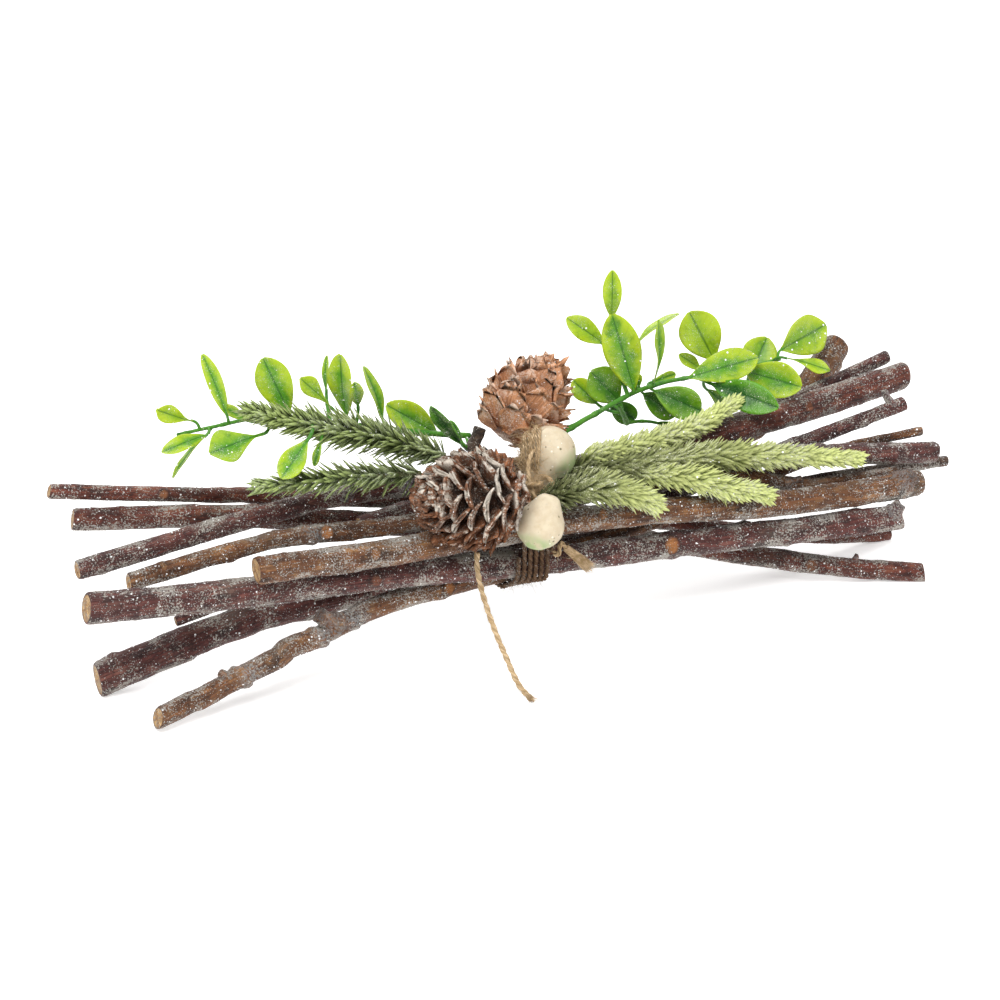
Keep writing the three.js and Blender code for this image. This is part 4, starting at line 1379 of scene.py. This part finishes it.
@dataclass
class Cone:
    """A cone of overlapping scales round a woody core."""

    node: str
    # The direction of its tip, its length and half its thickness.
    towards: Point
    long: float
    half: float
    # How many scales it has, how wide and thick they are, and their lean at the foot and the tip.
    scales: int
    width: float
    thick: float
    opening: tuple[float, float]
    # How torn, snowy, curled and unevenly placed the scales are.
    ragged: float
    snowy: float
    curl: float
    unruly: float
    # How many thin torn scales stand round the foot.
    skirt: int
    # How hollow a scale is, and how much of its narrowing end it keeps.
    cup: float
    taper: float

    def profile(self, share: Array) -> Array:
        """The half thickness of the cone at a share of its length, from 0 to 1."""
        return np.sin(np.pi * np.minimum(1, 0.16 + 0.84 * share) ** 0.8) ** 0.7

    def build(self, finish: bpy.types.Material, slot: str) -> Dusted:
        """Builds the core and the scales, each further round than the last."""
        rng = dice(self.node)
        low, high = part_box(self.node)
        centre = np.array((low + high) / 2) / MM
        axis = unit(np.array(self.towards))
        side = unit(np.cross(axis, UP))
        over = np.cross(side, axis)
        stock = Stock(("tip", "tone", "snow"))
        self.add_core(stock, centre, axis, side, over)
        for i in range(self.scales):
            share = (i + 0.5) / self.scales
            height = share**0.92
            turn = i * GOLDEN_TURN + rng.normal(0, 0.012 * self.unruly)
            out = side * math.cos(turn) + over * math.sin(turn)
            self.add_scale(stock, centre, axis, out, height, rng)
        for i in range(self.skirt):
            turn = (i + rng.uniform(-0.3, 0.3)) * math.tau / self.skirt
            out = side * math.cos(turn) + over * math.sin(turn)
            self.add_scale(stock, centre, axis, out, 0.10 + 0.06 * rng.uniform(), rng, papery=True)
        return stock.make(self.node + "_scales", finish, slot, (self.node,)), Dusting.SCALES

    def add_core(self, stock: Stock, centre: Array, axis: Array, side: Array, over: Array) -> None:
        """Adds the core that the scales stand on."""
        share = np.linspace(0.02, 0.97, 16)
        angle = full_turn(20)
        reach = (self.half * 0.5 * self.profile(share))[:, None]
        reach = reach * (1 + 0.1 * np.sin(angle * 8 + share[:, None] * 30))
        middle = centre + axis * ((share - 0.5) * self.long * 0.94)[:, None]
        rings = middle[:, None] + spokes(side, over, angle)[None] * reach[..., None]
        stock.tube(rings[::-1], tip=0.0, tone=0.2)

    def add_scale(self, stock: Stock, centre: Array, axis: Array, out: Array, height: float,
                  rng: np.random.Generator, papery: bool = False) -> None:
        """Adds one scale.

        Args:
            stock: where it goes.
            centre: the middle of the cone.
            axis: the direction of the cone's tip.
            out: the direction from the axis that the scale grows in.
            height: its share of the cone's length.
            rng: the random source.
            papery: whether it is one of the thin torn scales at the foot.
        """
        opening = math.radians(np.interp(height, [0, 1], self.opening) + rng.normal(0, self.unruly * 0.7))
        thick = self.thick * (0.3 if papery else 1)
        ragged = self.ragged * (3 if papery else 1)
        body = float(self.profile(np.array(height)))
        root_half = self.half * 0.30 * body
        reach = max((self.half * body - root_half) / max(math.sin(opening), 0.5), 4.0)
        way = unit(axis * math.cos(opening) + out * math.sin(opening))
        back = reach * math.cos(opening) * 0.55
        root = centre + axis * ((height - 0.5) * self.long * 0.92 - back) + out * root_half
        across = np.cross(axis, out)
        face = np.cross(way, across)
        wide = self.width * (0.55 + 0.45 * body) * rng.uniform(0.88, 1.12)
        rows, columns = 9, 9
        u = np.linspace(0, 1, rows)[:, None]
        v = np.linspace(-1, 1, columns)[None, :]
        outline = 0.32 + 0.68 * np.sin(np.pi * (u * self.taper) ** 1.3) ** 0.8
        seed = int(rng.integers(1000))
        edge = 1 - 0.22 * np.abs(v) ** 2.4 * u**3
        flat = np.stack(np.broadcast_arrays(u * 4 + seed, v * 2, 0 * u * v), -1)
        edge = edge + ragged * noise(flat * np.array([0.2, 1, 1]), 0.35, seed) * u**3
        along = u * reach * edge
        sideways = v * outline * wide / 2
        cup = self.curl * (u**2) * 2.2 - (v**2) * wide * self.cup * (0.4 + u)
        lump = thick * (0.4 + 0.7 * u**3) * (1 - 0.6 * np.abs(v) ** 4) * (1 - 0.5 * u**12)
        wave = 0.18 * noise(flat, 0.8, seed + 1)
        grid = root + along[..., None] * way + sideways[..., None] * across
        top = grid + (cup + wave + lump / 2)[..., None] * face
        under = grid + (cup + wave - lump / 2)[..., None] * face
        rings = np.concatenate([top, under[:, ::-1]], axis=1)
        own = np.stack(np.broadcast_arrays(along + seed, sideways, 0.3 * lump), -1)
        grain = np.concatenate([own, own[:, ::-1]], axis=1)
        tip = np.broadcast_to(u, (rows, 2 * columns))
        patch = smooth_step(-0.15, 0.35, noise(grid, 3.4, seed + 2))
        facing = 0.35 + 0.65 * smooth_step(-0.2, 0.6, out @ (UP + TOWARDS_FRONT))
        share = self.snowy * rng.uniform(0.45, 1) * facing * (0.2 if papery else 1)
        snow = share * (0.35 + 0.65 * np.concatenate([patch, patch[:, ::-1]], axis=1))
        tone = 1.0 if papery else rng.uniform() ** 1.6
        stock.tube(rings[::-1], True, True, grain[::-1], tip=tip[::-1], tone=tone, snow=snow[::-1])


@dataclass
class Berry:
    """A waxy berry with a short neck and a green blush."""

    node: str
    half: float
    # The directions of the neck and of the greener side.
    neck: Point
    blush: Point

    def build(self, finish: bpy.types.Material) -> Dusted:
        """Builds the berry."""
        axis = unit(np.array(self.neck))
        side = unit(np.cross(axis, UP))
        over = np.cross(side, axis)
        points = Solid(self.node).points
        bottom = (points @ axis).min()
        ball = points.mean(0)
        ball = ball + axis * (bottom + self.half - ball @ axis)
        share = np.linspace(0.03, 1, 30)
        lift = -np.cos(np.pi * share)
        reach = np.sqrt(np.clip(1 - lift**2, 0, 1))
        neck = np.clip((lift - 0.45) / 0.55, 0, 1)
        height = self.half * lift + neck**2 * 1.9
        reach = self.half * reach * (1 - 0.15 * neck) + 1.5 * neck**3
        reach[-1] = 1.1
        outward = spokes(side, over, full_turn(44))
        rings = ball + axis * height[:, None, None] + outward[None] * reach[:, None, None]
        way = unit(rings - ball)
        rings = rings + way * (0.22 * noise(rings, 4.2, 3) + 0.08 * noise(rings, 1.3, 5))[..., None]
        facing = way @ unit(np.array(self.blush))
        rings = rings + way * (0.5 * smooth_step(0.86, 0.99, facing))[..., None]
        stock = Stock(("blush",))
        stock.tube(rings, blush=smooth_step(0.45, 0.95, facing))
        return stock.make(self.node + "_wax", finish, "berry", (self.node,)), Dusting.WAX


@dataclass
class Cones:
    """The snowy open cone in front and the papery one above it."""

    front: Cone = field(default_factory=lambda: Cone(
        node="cone_front", towards=(-0.94, -0.22, 0.26), long=36, half=15.8, scales=74, width=11.0,
        thick=1.7, opening=(88, 30), ragged=0.17, snowy=1.0, curl=0.9, unruly=10.0, skirt=14, cup=0.13,
        taper=0.72,
    ))
    top: Cone = field(default_factory=lambda: Cone(
        node="cone_top", towards=(0.72, 0.35, 0.6), long=31, half=14.5, scales=60, width=11.0,
        thick=0.45, opening=(74, 34), ragged=0.34, snowy=0.7, curl=0.5, unruly=12.0, skirt=0, cup=0.11,
        taper=0.82,
    ))

    def build(self, shared: SharedEffects) -> list[Dusted]:
        """Builds both cones and returns them for their glitter."""
        dark = Dress.DARK_SCALE.value.make(shared)
        pale = Dress.PALE_SCALE.value.make(shared)
        return [self.front.build(dark, "dark_cone"), self.top.build(pale, "pale_cone")]


@dataclass
class Berries:
    """The two berries that show their blush below."""

    berries: tuple[Berry, ...] = (
        Berry("berry_upper", 8.3, (-0.6, -0.3, -0.75), (0.55, -0.55, -0.5)),
        Berry("berry_lower", 7.4, (0.4, 0.1, 0.9), (-0.45, -0.35, -0.85)),
    )

    def build(self, shared: SharedEffects) -> list[Dusted]:
        """Builds both berries and returns them for their glitter."""
        wax = Dress.WAX.value.make(shared)
        return [berry.build(wax) for berry in self.berries]


@dataclass
class ConeStalk:
    """The short thick stalk that stands under the upper cone."""

    # The route around the tie.
    route: tuple[Point, ...] = ((-6, 10, 57), (-3.5, 11, 59.5), (-1.5, 11.5, 63.5))
    half: float = 1.9
    sides: int = 20

    def build(self, shared: SharedEffects) -> None:
        """Builds the stalk."""
        stock = Stock(("hollow", "knot", "cut", "reach", "ash"))
        line = through(np.array(self.route) + TO_ORIGIN, 0.5)
        _, side, up = carried_frames(line)
        outward = outwards(side, up, full_turn(self.sides))
        reach = self.half * (1 + 0.12 * noise(line[:, None] + outward * 2, 1.2, 4))
        stock.tube(line[:, None] + outward * reach[..., None], reach=1.0)
        stock.make("cone_stalk_bark", Bark.STALK.value.make(shared), "bark", ("cone_stalk",))


# ---- Greenery ----


@dataclass
class FirSprig:
    """A branch with needles all round it, that lean towards its tip."""

    node: str
    # The needles' length at the foot, the middle and the tip of the branch.
    long: tuple[float, float, float]
    # The distance between their rows, and how many are in a row.
    every: float
    row: int
    # Their lean in degrees, their width, and how much darker they are at the foot of the branch, which stands
    # for older needles and for painted shade there.
    lean: float
    wide: float
    old_and_shaded: float
    # Whether the branch grows to the left.
    flip: bool = False
    # Where the branch comes from before its needles stand free of the main one, around the tie.
    lead: tuple[Point, ...] = ()
    # How far the last needles reach past the end of the branch.
    trim: float = 4.5

    def build(self, finish: bpy.types.Material) -> Dusted:
        """Builds the branch and its needles."""
        rng = dice(self.node)
        line, _ = Solid(self.node).middle_line(0, 40)
        line = line[::-1] if self.flip else line
        if self.lead:
            line = through(np.vstack([np.array(self.lead) + TO_ORIGIN, line[::8], line[-1:]]), 1.0)
        line = evenly(line, self.every)[:-round(self.trim / self.every)]
        along, side, up = carried_frames(line)
        stock = Stock(("tip", "tone", "twig"))
        self.add_stem(stock, line)
        last = len(line) - 1
        for i, place in enumerate(line):
            share = i / last
            reach = np.interp(share, [0, 0.45, 1], self.long)
            for k in range(self.row):
                turn = (k + (i % 2) * 0.5) * math.tau / self.row + rng.normal(0, 0.22)
                out = side[i] * math.cos(turn) + up[i] * math.sin(turn)
                lean = math.radians(self.lean + rng.normal(0, 7)) * (1 - 0.35 * share**3)
                way = unit(along[i] * math.cos(lean) + out * math.sin(lean))
                long = reach * rng.uniform(0.82, 1.1)
                start = place + along[i] * rng.uniform(-0.5, 0.5) * self.every
                # Needles near the foot of the branch get darker, partly as older needles, partly as painted
                # shade.
                tone = self.old_and_shaded * (1 - share) + rng.uniform(0, 0.25)
                self.add_needle(stock, start, way, out, long, tone, rng)
        return stock.make(self.node + "_needles", finish, "fir", (self.node,)), Dusting.NEEDLES

    def add_stem(self, stock: Stock, line: Array) -> None:
        """Adds the branch itself."""
        _, side, up = carried_frames(line)
        thin = np.linspace(0.95, 0.35, len(line))[:, None, None]
        rings = line[:, None] + outwards(side, up, full_turn(8)) * thin
        stock.tube(rings, tip=0.0, tone=0.6, twig=0.7)

    def add_needle(self, stock: Stock, start: Array, way: Array, out: Array, long: float, tone: float,
                   rng: np.random.Generator) -> None:
        """Adds one needle, a thin blade with a ridge.

        Args:
            stock: where it goes.
            start: its foot.
            way: the direction that it grows in.
            out: the direction away from the branch.
            long: its length.
            tone: how old and dark it is.
            rng: the random source.
        """
        share = np.array([0.0, 0.35, 0.7, 1.0])
        wide = self.wide * np.array([0.55, 1.0, 0.85, 0.10]) / 2
        across = unit(np.cross(way, out) + rng.normal(0, 0.15, 3))
        face = np.cross(across, way)
        droop = -out * long * 0.10 * (share**2)[:, None]
        middle = start + way * (long * share)[:, None] + droop
        corners = np.array([[1, -0.12], [0, 0.42], [-1, -0.12]])
        rings = (middle[:, None] + across * (corners[:, 0] * wide[:, None])[..., None]
                 + face * (corners[:, 1] * wide[:, None] * 0.9)[..., None])
        stock.tube(rings, False, True, tip=share[:, None], tone=tone)


@dataclass
class FirGreenery:
    """The frosted fir on the left and the paler fir on the right."""

    left: tuple[FirSprig, ...] = (
        FirSprig("fir_left_main", (9.0, 11.5, 7.0), 0.95, 9, 48, 1.4, 0.5, flip=True),
        FirSprig("fir_left_lower", (9.0, 9.5, 6.0), 1.3, 6, 48, 1.35, 0.6, flip=True),
    )
    right: tuple[FirSprig, ...] = (
        FirSprig("fir_right_main", (7.5, 9.5, 6.0), 0.7, 11, 47, 1.9, 1.25,
                 lead=((8, -8, 51), (17, -11, 53)), trim=10.5),
        FirSprig("fir_right_upper", (6.5, 7.5, 6.0), 0.7, 10, 46, 1.8, 0.4,
                 lead=((22, -12, 58), (44, -7, 57))),
        FirSprig("fir_right_lower", (6.5, 8.0, 6.5), 0.7, 10, 46, 1.8, 0.4,
                 lead=((40, -14, 51), (55, -18, 48.5)), trim=11.0),
        FirSprig("fir_right_tuft", (7.0, 9.5, 7.5), 0.7, 11, 48, 1.85, 1.4,
                 lead=((3, -19, 50), (9, -22, 52)), trim=9.0),
    )

    def build(self, shared: SharedEffects) -> list[Dusted]:
        """Builds every branch and returns them for their glitter."""
        grey = Dress.GREY_FIR.value.make(shared)
        pale = Dress.PALE_FIR.value.make(shared)
        return [sprig.build(grey) for sprig in self.left] + [sprig.build(pale) for sprig in self.right]


class Hue(Enum):
    """How green or yellow a leaf is."""

    DEEP = 0.05
    DARK = 0.28
    GREEN = 0.5
    FRESH = 0.7
    LIME = 0.95


@dataclass
class Blade:
    """One boxwood leaf: where it starts and ends, its width and how it faces."""

    foot: Array
    tip: Array
    wide: float
    face: Array
    hue: float
    slim: bool = False

    @classmethod
    def from_solid(cls, node: str, hue: Hue, slim: bool) -> "Blade":
        """Reads a leaf's place from its plain solid.

        Args:
            node: the solid's name.
            hue: the leaf's colour.
            slim: whether it narrows early to its foot.

        Returns:
            The leaf.
        """
        points = Solid(node).points
        centre = points.mean(0)
        _, _, ways = np.linalg.svd(points - centre, full_matrices=False)
        along, _, face = ways
        local = (points - centre) @ ways.T
        if np.corrcoef(np.abs(local[:, 1]), local[:, 2])[0, 1] < 0:
            face = -face
        reach = local[:, 0]
        near_top = np.abs(reach - np.quantile(reach, 0.99)) < 0.3 * np.ptp(reach)
        near_foot = np.abs(reach - np.quantile(reach, 0.01)) < 0.3 * np.ptp(reach)
        if np.abs(local[near_top, 1]).max() < np.abs(local[near_foot, 1]).max():
            along, reach = -along, -reach
        foot = centre + along * reach.min()
        tip = centre + along * reach.max()
        return cls(foot, tip, float(np.ptp(local[:, 1])), face, hue.value, slim)

    def build(self, stock: Stock, rng: np.random.Generator) -> None:
        """Builds the leaf with its rib, its cupped sides and its thick edge."""
        along = unit(self.tip - self.foot)
        face = unit(self.face - along * (self.face @ along))
        across = np.cross(face, along)
        long = float(np.linalg.norm(self.tip - self.foot))
        rows, columns = 22, 13
        u = np.linspace(0, 1, rows)[:, None]
        v = np.linspace(-1, 1, columns)[None, :]
        belly, full = (2.3, 0.9) if self.slim else (rng.uniform(1.2, 1.6), rng.uniform(0.50, 0.64))
        outline = np.maximum(np.sin(np.pi * np.minimum(u, 0.9999) ** belly) ** full, 0.10 * (1 - u))
        outline = np.where(u >= 1, 0.12, outline)
        half = self.wide / 2 * outline
        notch = rng.uniform(0.0, 0.05) * (1 - np.abs(v)) ** 2 * u**10
        forward = long * (u - notch)
        curve = long * (0.07 * np.sin(np.pi * u) + rng.uniform(-0.04, 0.05) * u**2)
        twist = rng.uniform(-0.25, 0.25) * (u - 0.5)
        cup = half * (0.20 * np.abs(v) ** 1.5 - 0.16) + twist * half * v
        rib = -0.16 * np.exp(-((v / 0.13) ** 2)) * np.sin(np.pi * np.clip(u, 0.03, 1))
        wavy = 0.10 * half * np.sin(u * rng.uniform(7, 12) + rng.uniform(0, 6)) * np.abs(v) ** 2
        lift = curve + cup + rib + wavy
        grid = (self.foot + forward[..., None] * along + (half * v)[..., None] * across
                + lift[..., None] * face)
        thick = 0.20 * (1 - 0.55 * v**8)
        top = grid + thick[..., None] * face
        under = grid - thick[..., None] * face
        rings = np.concatenate([top, under[:, ::-1]], axis=1)
        edge = np.abs(np.broadcast_to(v, (rows, columns)))
        edge = np.concatenate([edge, edge[:, ::-1]], axis=1)
        tone = np.clip(self.hue + rng.normal(0, 0.05), 0, 1.1)
        stock.tube(rings[::-1], edge=edge[::-1], tip=np.broadcast_to(u, edge.shape)[::-1], tone=tone)


@dataclass
class BoxwoodSprig:
    """A boxwood stem with its leaves and the smaller leaves between them."""

    side: str
    stems: tuple[tuple[str, int], ...]
    hues: tuple[Hue, ...]
    # The small leaves around the tie: foot, tip, width and colour.
    small: tuple[tuple[Point, Point, float, Hue], ...]
    # The numbers of the leaves that narrow early to their foot.
    slim: tuple[int, ...] = ()
    # Whether the stem grows to the left.
    flip: bool = False
    # How many short steps of the stem's root are tucked in behind the stalk of the cone.
    tucked: int = 0

    def build(self, leaf: bpy.types.Material, stem: bpy.types.Material) -> list[Dusted]:
        """Builds the stems, then every leaf with its stalk.

        Args:
            leaf: the leaves' finish.
            stem: the stems' finish.

        Returns:
            The leaves, for their glitter.
        """
        rng = dice("boxwood_" + self.side)
        wood = Stock(("edge", "tone", "tip"))
        leaves = []
        lines = []
        for node, axis in self.stems:
            line, _ = Solid(node).middle_line(axis, 40)
            line = evenly(line[::-1] if self.flip else line, 0.7)[self.tucked:]
            lines.append(line)
            self.add_stem(wood, line, 0.95, 0.5)
        for i, hue in enumerate(self.hues):
            node = f"box_leaf_{self.side}_{i + 1:02d}"
            blade = Blade.from_solid(node, hue, i + 1 in self.slim)
            stock = Stock(("edge", "tone", "tip"))
            blade.build(stock, rng)
            leaves.append(stock.make(f"{self.side}_leaf_{i + 1:02d}", leaf, "boxwood_leaf", (node,)))
            self.add_stalk(wood, blade, lines)
        stock = Stock(("edge", "tone", "tip"))
        for foot, tip, wide, hue in self.small:
            foot, tip = np.array(foot) + TO_ORIGIN, np.array(tip) + TO_ORIGIN
            blade = Blade(foot, tip, wide, TOWARDS_FRONT + rng.normal(0, 0.3, 3), hue.value)
            blade.build(stock, rng)
            self.add_stalk(wood, blade, lines)
        leaves.append(stock.make(f"{self.side}_small_leaves", leaf, "boxwood_leaf"))
        wood.make(f"{self.side}_stem", stem, "boxwood_stem", tuple(node for node, _ in self.stems))
        return [(piece, Dusting.LEAVES) for piece in leaves]

    def add_stem(self, stock: Stock, line: Array, start: float, end: float) -> None:
        """Adds a smooth stem, a little thicker at its joints."""
        _, side, up = carried_frames(line)
        run = run_of(line)
        joint = 1 + 0.22 * np.exp(-(((run % 13.0) - 6.5) / 0.9) ** 2)
        thin = (np.linspace(start, end, len(line)) * joint)[:, None, None]
        rings = line[:, None] + outwards(side, up, full_turn(10)) * thin
        stock.tube(rings, edge=0.6, tone=0.3, tip=0.5)

    def add_stalk(self, stock: Stock, blade: Blade, lines: list[Array]) -> None:
        """Joins a leaf to the nearest stem."""
        points = np.vstack(lines)
        along = unit(blade.tip - blade.foot)
        away = blade.foot - points
        gap = np.linalg.norm(away, axis=1)
        bend = 1 - (away @ along) / np.maximum(gap, 0.1)
        best = int(np.argmin(gap * (1 + 0.9 * bend) + 1.5 * bend))
        start, reach = points[best], gap[best]
        turn = blade.foot - along * 0.45 * reach
        into = blade.foot + along * 0.07 * np.linalg.norm(blade.tip - blade.foot)
        share = np.linspace(0, 1, 14)[:, None]
        curve = (1 - share) ** 2 * start + 2 * share * (1 - share) * turn + share**2 * blade.foot
        thick = 0.36 + min(reach, 20) * 0.012
        self.add_stem(stock, evenly(np.vstack([curve, into]), 0.5), thick + 0.1, thick)


@dataclass
class Boxwood:
    """The boxwood on the left and on the right."""

    left: BoxwoodSprig = field(default_factory=lambda: BoxwoodSprig(
        side="left",
        stems=(("box_stem_left", 0),),
        hues=(Hue.FRESH, Hue.LIME, Hue.FRESH, Hue.GREEN, Hue.GREEN, Hue.FRESH, Hue.LIME, Hue.FRESH,
              Hue.GREEN, Hue.FRESH, Hue.GREEN, Hue.FRESH, Hue.DEEP),
        small=(((-76, 18, 76), (-82, 22, 80), 3.6, Hue.FRESH), ((-48, 22, 79), (-47, 24, 90), 2.4, Hue.GREEN),
               ((-57, 4, 71), (-60, 2, 64), 2.7, Hue.GREEN), ((-10, 6, 62), (-14, 6, 70), 1.8, Hue.DEEP)),
        slim=(2, 5, 7), flip=True, tucked=11,
    ))
    right: BoxwoodSprig = field(default_factory=lambda: BoxwoodSprig(
        side="right",
        stems=(("box_stem_right", 0), ("box_stem_right_side", 2)),
        hues=(Hue.LIME, Hue.FRESH, Hue.LIME, Hue.DARK, Hue.FRESH, Hue.GREEN, Hue.LIME, Hue.LIME, Hue.FRESH,
              Hue.FRESH, Hue.LIME, Hue.LIME, Hue.FRESH, Hue.DEEP, Hue.DARK, Hue.DARK, Hue.DEEP),
        small=(((86, 34, 61), (80, 38, 66), 4.5, Hue.LIME), ((60, 26, 62), (60, 28, 66), 3.2, Hue.GREEN),
               ((87, 32, 55), (95, 34, 47), 4.5, Hue.DARK), ((65, 28, 62), (76, 32, 62), 3.2, Hue.FRESH),
               ((67, 28, 48), (75, 28, 45), 2.9, Hue.DEEP)),
        slim=(6, 12),
    ))

    def build(self, shared: SharedEffects) -> list[Dusted]:
        """Builds both sprigs and returns their leaves for their glitter."""
        leaf = Dress.LEAF.value.make(shared)
        stem = Dress.STEM.value.make(shared)
        return self.left.build(leaf, stem) + self.right.build(leaf, stem)


# ---- Frost and glitter ----


@dataclass
class Glitter:
    """Loose grains that cling to the surfaces."""

    corners: Array = field(default_factory=lambda: unit(np.array(
        [[1, 1, 1], [1, -1, -1], [-1, 1, -1], [-1, -1, 1]], dtype=float)))
    # How many places on the bark are tried, for frost and for glitter.
    frost_tries: int = 70000
    glitter_tries: int = 3600
    # The smallest and the largest grain of each.
    frost_sizes: tuple[float, float] = (0.10, 0.26)
    glitter_sizes: tuple[float, float] = (0.18, 0.36)
    green_sizes: tuple[float, float] = (0.12, 0.26)

    def add(self, stock: Stock, points: Array, sizes: Array, rng: np.random.Generator) -> None:
        """Adds a small sharp grain at each point."""
        turned = np.einsum("nij,kj->nki", random_turns(rng, len(points)), self.corners)
        places = points[:, None, :] + turned * sizes[:, None, None]
        sides = np.array([[0, 1, 2], [0, 2, 3], [0, 3, 1], [1, 3, 2]])
        faces = (np.arange(len(points))[:, None, None] * 4 + sides[None]).reshape(-1, 3)
        stock.add(places, [faces])

    def on_twigs(self, bundle: TwigBundle, count: int, sizes: tuple[float, float], patchy: float,
                 rng: np.random.Generator) -> tuple[Array, Array]:
        """Places for grains on the bark.

        Args:
            bundle: the twigs.
            count: how many places are tried.
            sizes: the smallest and the largest grain.
            patchy: how much the grains gather in patches and on top.
            rng: the random source.

        Returns:
            The places and their sizes.
        """
        weights = np.array([twig.run[-1] * twig.half.mean() for twig in bundle.twigs])
        shares = (count * weights / weights.sum()).astype(int)
        found = []
        for twig, share in zip(bundle.twigs, shares):
            rings, sides = twig.surface.shape[:2]
            i = rng.integers(0, rings - 1, share)
            j = rng.integers(0, sides, share)
            a, b = rng.uniform(size=(2, share, 1))
            near = twig.surface[i, j] * (1 - a) + twig.surface[i + 1, j] * a
            far = twig.surface[i, (j + 1) % sides] * (1 - a) + twig.surface[i + 1, (j + 1) % sides] * a
            place = near * (1 - b) + far * b
            keep = noise(place, 9, 21) * 0.6 + noise(place, 2.6, 22) * 0.5 + twig.outward[i, j] @ UP * 0.25
            wanted = rng.uniform(-1, 1, share) < keep * patchy + (1 - patchy) + 0.35 * patchy
            found.append((place + twig.outward[i, j] * 0.05)[wanted])
        places = np.vstack(found)
        spread = rng.uniform(size=len(places)) ** 2
        return places, sizes[0] + (sizes[1] - sizes[0]) * spread

    def on_piece(self, piece: bpy.types.Object, count: int, rng: np.random.Generator) -> Array:
        """Places for grains on the faces of a finished piece."""
        mesh = piece.data
        centres = np.zeros(len(mesh.polygons) * 3)
        areas = np.zeros(len(mesh.polygons))
        mesh.polygons.foreach_get("center", centres)
        mesh.polygons.foreach_get("area", areas)
        picked = rng.choice(len(areas), count, p=areas / areas.sum())
        return centres.reshape(-1, 3)[picked] / MM

    def build(self, bundle: TwigBundle, dusted: list[Dusted], shared: SharedEffects) -> None:
        """Builds the frost on the twigs and the bright glitter on everything.

        Args:
            bundle: the twigs.
            dusted: the other pieces that hold glitter, and how much of it.
            shared: the groups that finishes share.
        """
        frost = Dress.FROST.value.make(shared)
        bright = Dress.GLITTER.value.make(shared)
        rng = dice("glitter")
        stock = Stock()
        places, sizes = self.on_twigs(bundle, self.frost_tries, self.frost_sizes, 0.85, rng)
        self.add(stock, places, sizes, rng)
        stock.make("twig_frost", frost, "bark", smooth=False)
        stock = Stock()
        places, sizes = self.on_twigs(bundle, self.glitter_tries, self.glitter_sizes, 0.2, rng)
        self.add(stock, places, sizes, rng)
        stock.make("twig_glitter", bright, "bark", smooth=False)
        others = Stock()
        for piece, dusting in sorted(dusted, key=lambda pair: pair[0].name):
            count = max(6, int(len(piece.data.polygons) * dusting.value))
            points = self.on_piece(piece, count, rng)
            self.add(others, points, rng.uniform(*self.green_sizes, len(points)), rng)
        others.make("green_glitter", bright, "fir", smooth=False)


# ---- Studio ----


@dataclass
class Studio:
    """The camera, the pale floor and the soft light."""

    eye: Point = (-0.4406, -0.9703, 0.4928)
    target: Point = (-0.010, -0.0032, 0.0435)
    lens: float = 134.55
    floor: float = 6.0
    sky: float = 0.62

    def build(self) -> None:
        """Builds the camera, the floor and the lights."""
        self.build_camera()
        self.build_floor()
        self.build_lights()
        bpy.context.scene.view_settings.view_transform = "Standard"

    def build_camera(self) -> None:
        """Places the camera."""
        data = bpy.data.cameras.new("camera")
        data.lens = self.lens
        data.clip_start = 0.01
        camera = bpy.data.objects.new("camera", data)
        bpy.context.scene.collection.objects.link(camera)
        camera.location = self.eye
        way = Vector(self.target) - Vector(self.eye)
        camera.rotation_euler = way.to_track_quat("-Z", "Y").to_euler()
        bpy.context.scene.camera = camera

    def build_floor(self) -> None:
        """Lays a plain pale floor."""
        half = self.floor / 2
        mesh = bpy.data.meshes.new("floor")
        corners = [(-half, -half, 0), (half, -half, 0), (half, half, 0), (-half, half, 0)]
        mesh.from_pydata(corners, [], [(0, 1, 2, 3)])
        material = bpy.data.materials.new("floor_paper")
        material.use_nodes = True
        shader = material.node_tree.nodes["Principled BSDF"]
        shader.inputs["Base Color"].default_value = (0.92, 0.92, 0.92, 1)
        shader.inputs["Roughness"].default_value = 0.9
        shader.inputs["Specular IOR Level"].default_value = 0.0
        shader.inputs["Emission Color"].default_value = (1, 1, 1, 1)
        shader.inputs["Emission Strength"].default_value = 0.4
        mesh.materials.append(material)
        floor = bpy.data.objects.new("floor", mesh)
        bpy.context.scene.collection.objects.link(floor)

    def build_lights(self) -> None:
        """Hangs the soft lights."""
        world = bpy.data.worlds.new("studio")
        world.use_nodes = True
        sky = world.node_tree.nodes["Background"]
        sky.inputs["Color"].default_value = (1.0, 1.0, 1.0, 1)
        sky.inputs["Strength"].default_value = self.sky
        bpy.context.scene.world = world
        lights = (
            ("key", (-0.55, -0.75, 1.35), 0.9, 24.0),
            ("fill", (1.1, -0.6, 0.7), 1.0, 4.0),
            ("back", (0.3, 1.1, 1.2), 0.8, 12.0),
        )
        for name, place, size, power in lights:
            data = bpy.data.lights.new(name, "AREA")
            data.size = size
            data.energy = power
            light = bpy.data.objects.new(name, data)
            light.location = place
            light.rotation_euler = (Vector((0, 0, 0.04)) - Vector(place)).to_track_quat("-Z", "Y").to_euler()
            bpy.context.scene.collection.objects.link(light)


def main() -> None:
    """Builds the whole bundle, from the tie outwards."""
    Studio().build()
    shared = SharedEffects()
    pale_jute = Dress.PALE_JUTE.value.make(shared)
    dull_jute = Dress.DULL_JUTE.value.make(shared)
    TwineTail().build(pale_jute)
    bundle = TwigBundle()
    bundle.measure()
    bundle.build(shared)
    TwineTie().build(bundle, dull_jute, pale_jute)
    dusted = Cones().build(shared)
    dusted += Berries().build(shared)
    dusted += FirGreenery().build(shared)
    dusted += Boxwood().build(shared)
    ConeStalk().build(shared)
    Glitter().build(bundle, dusted, shared)


if __name__ == "__main__":
    logging.basicConfig(level=logging.INFO, format="%(message)s")
    main()
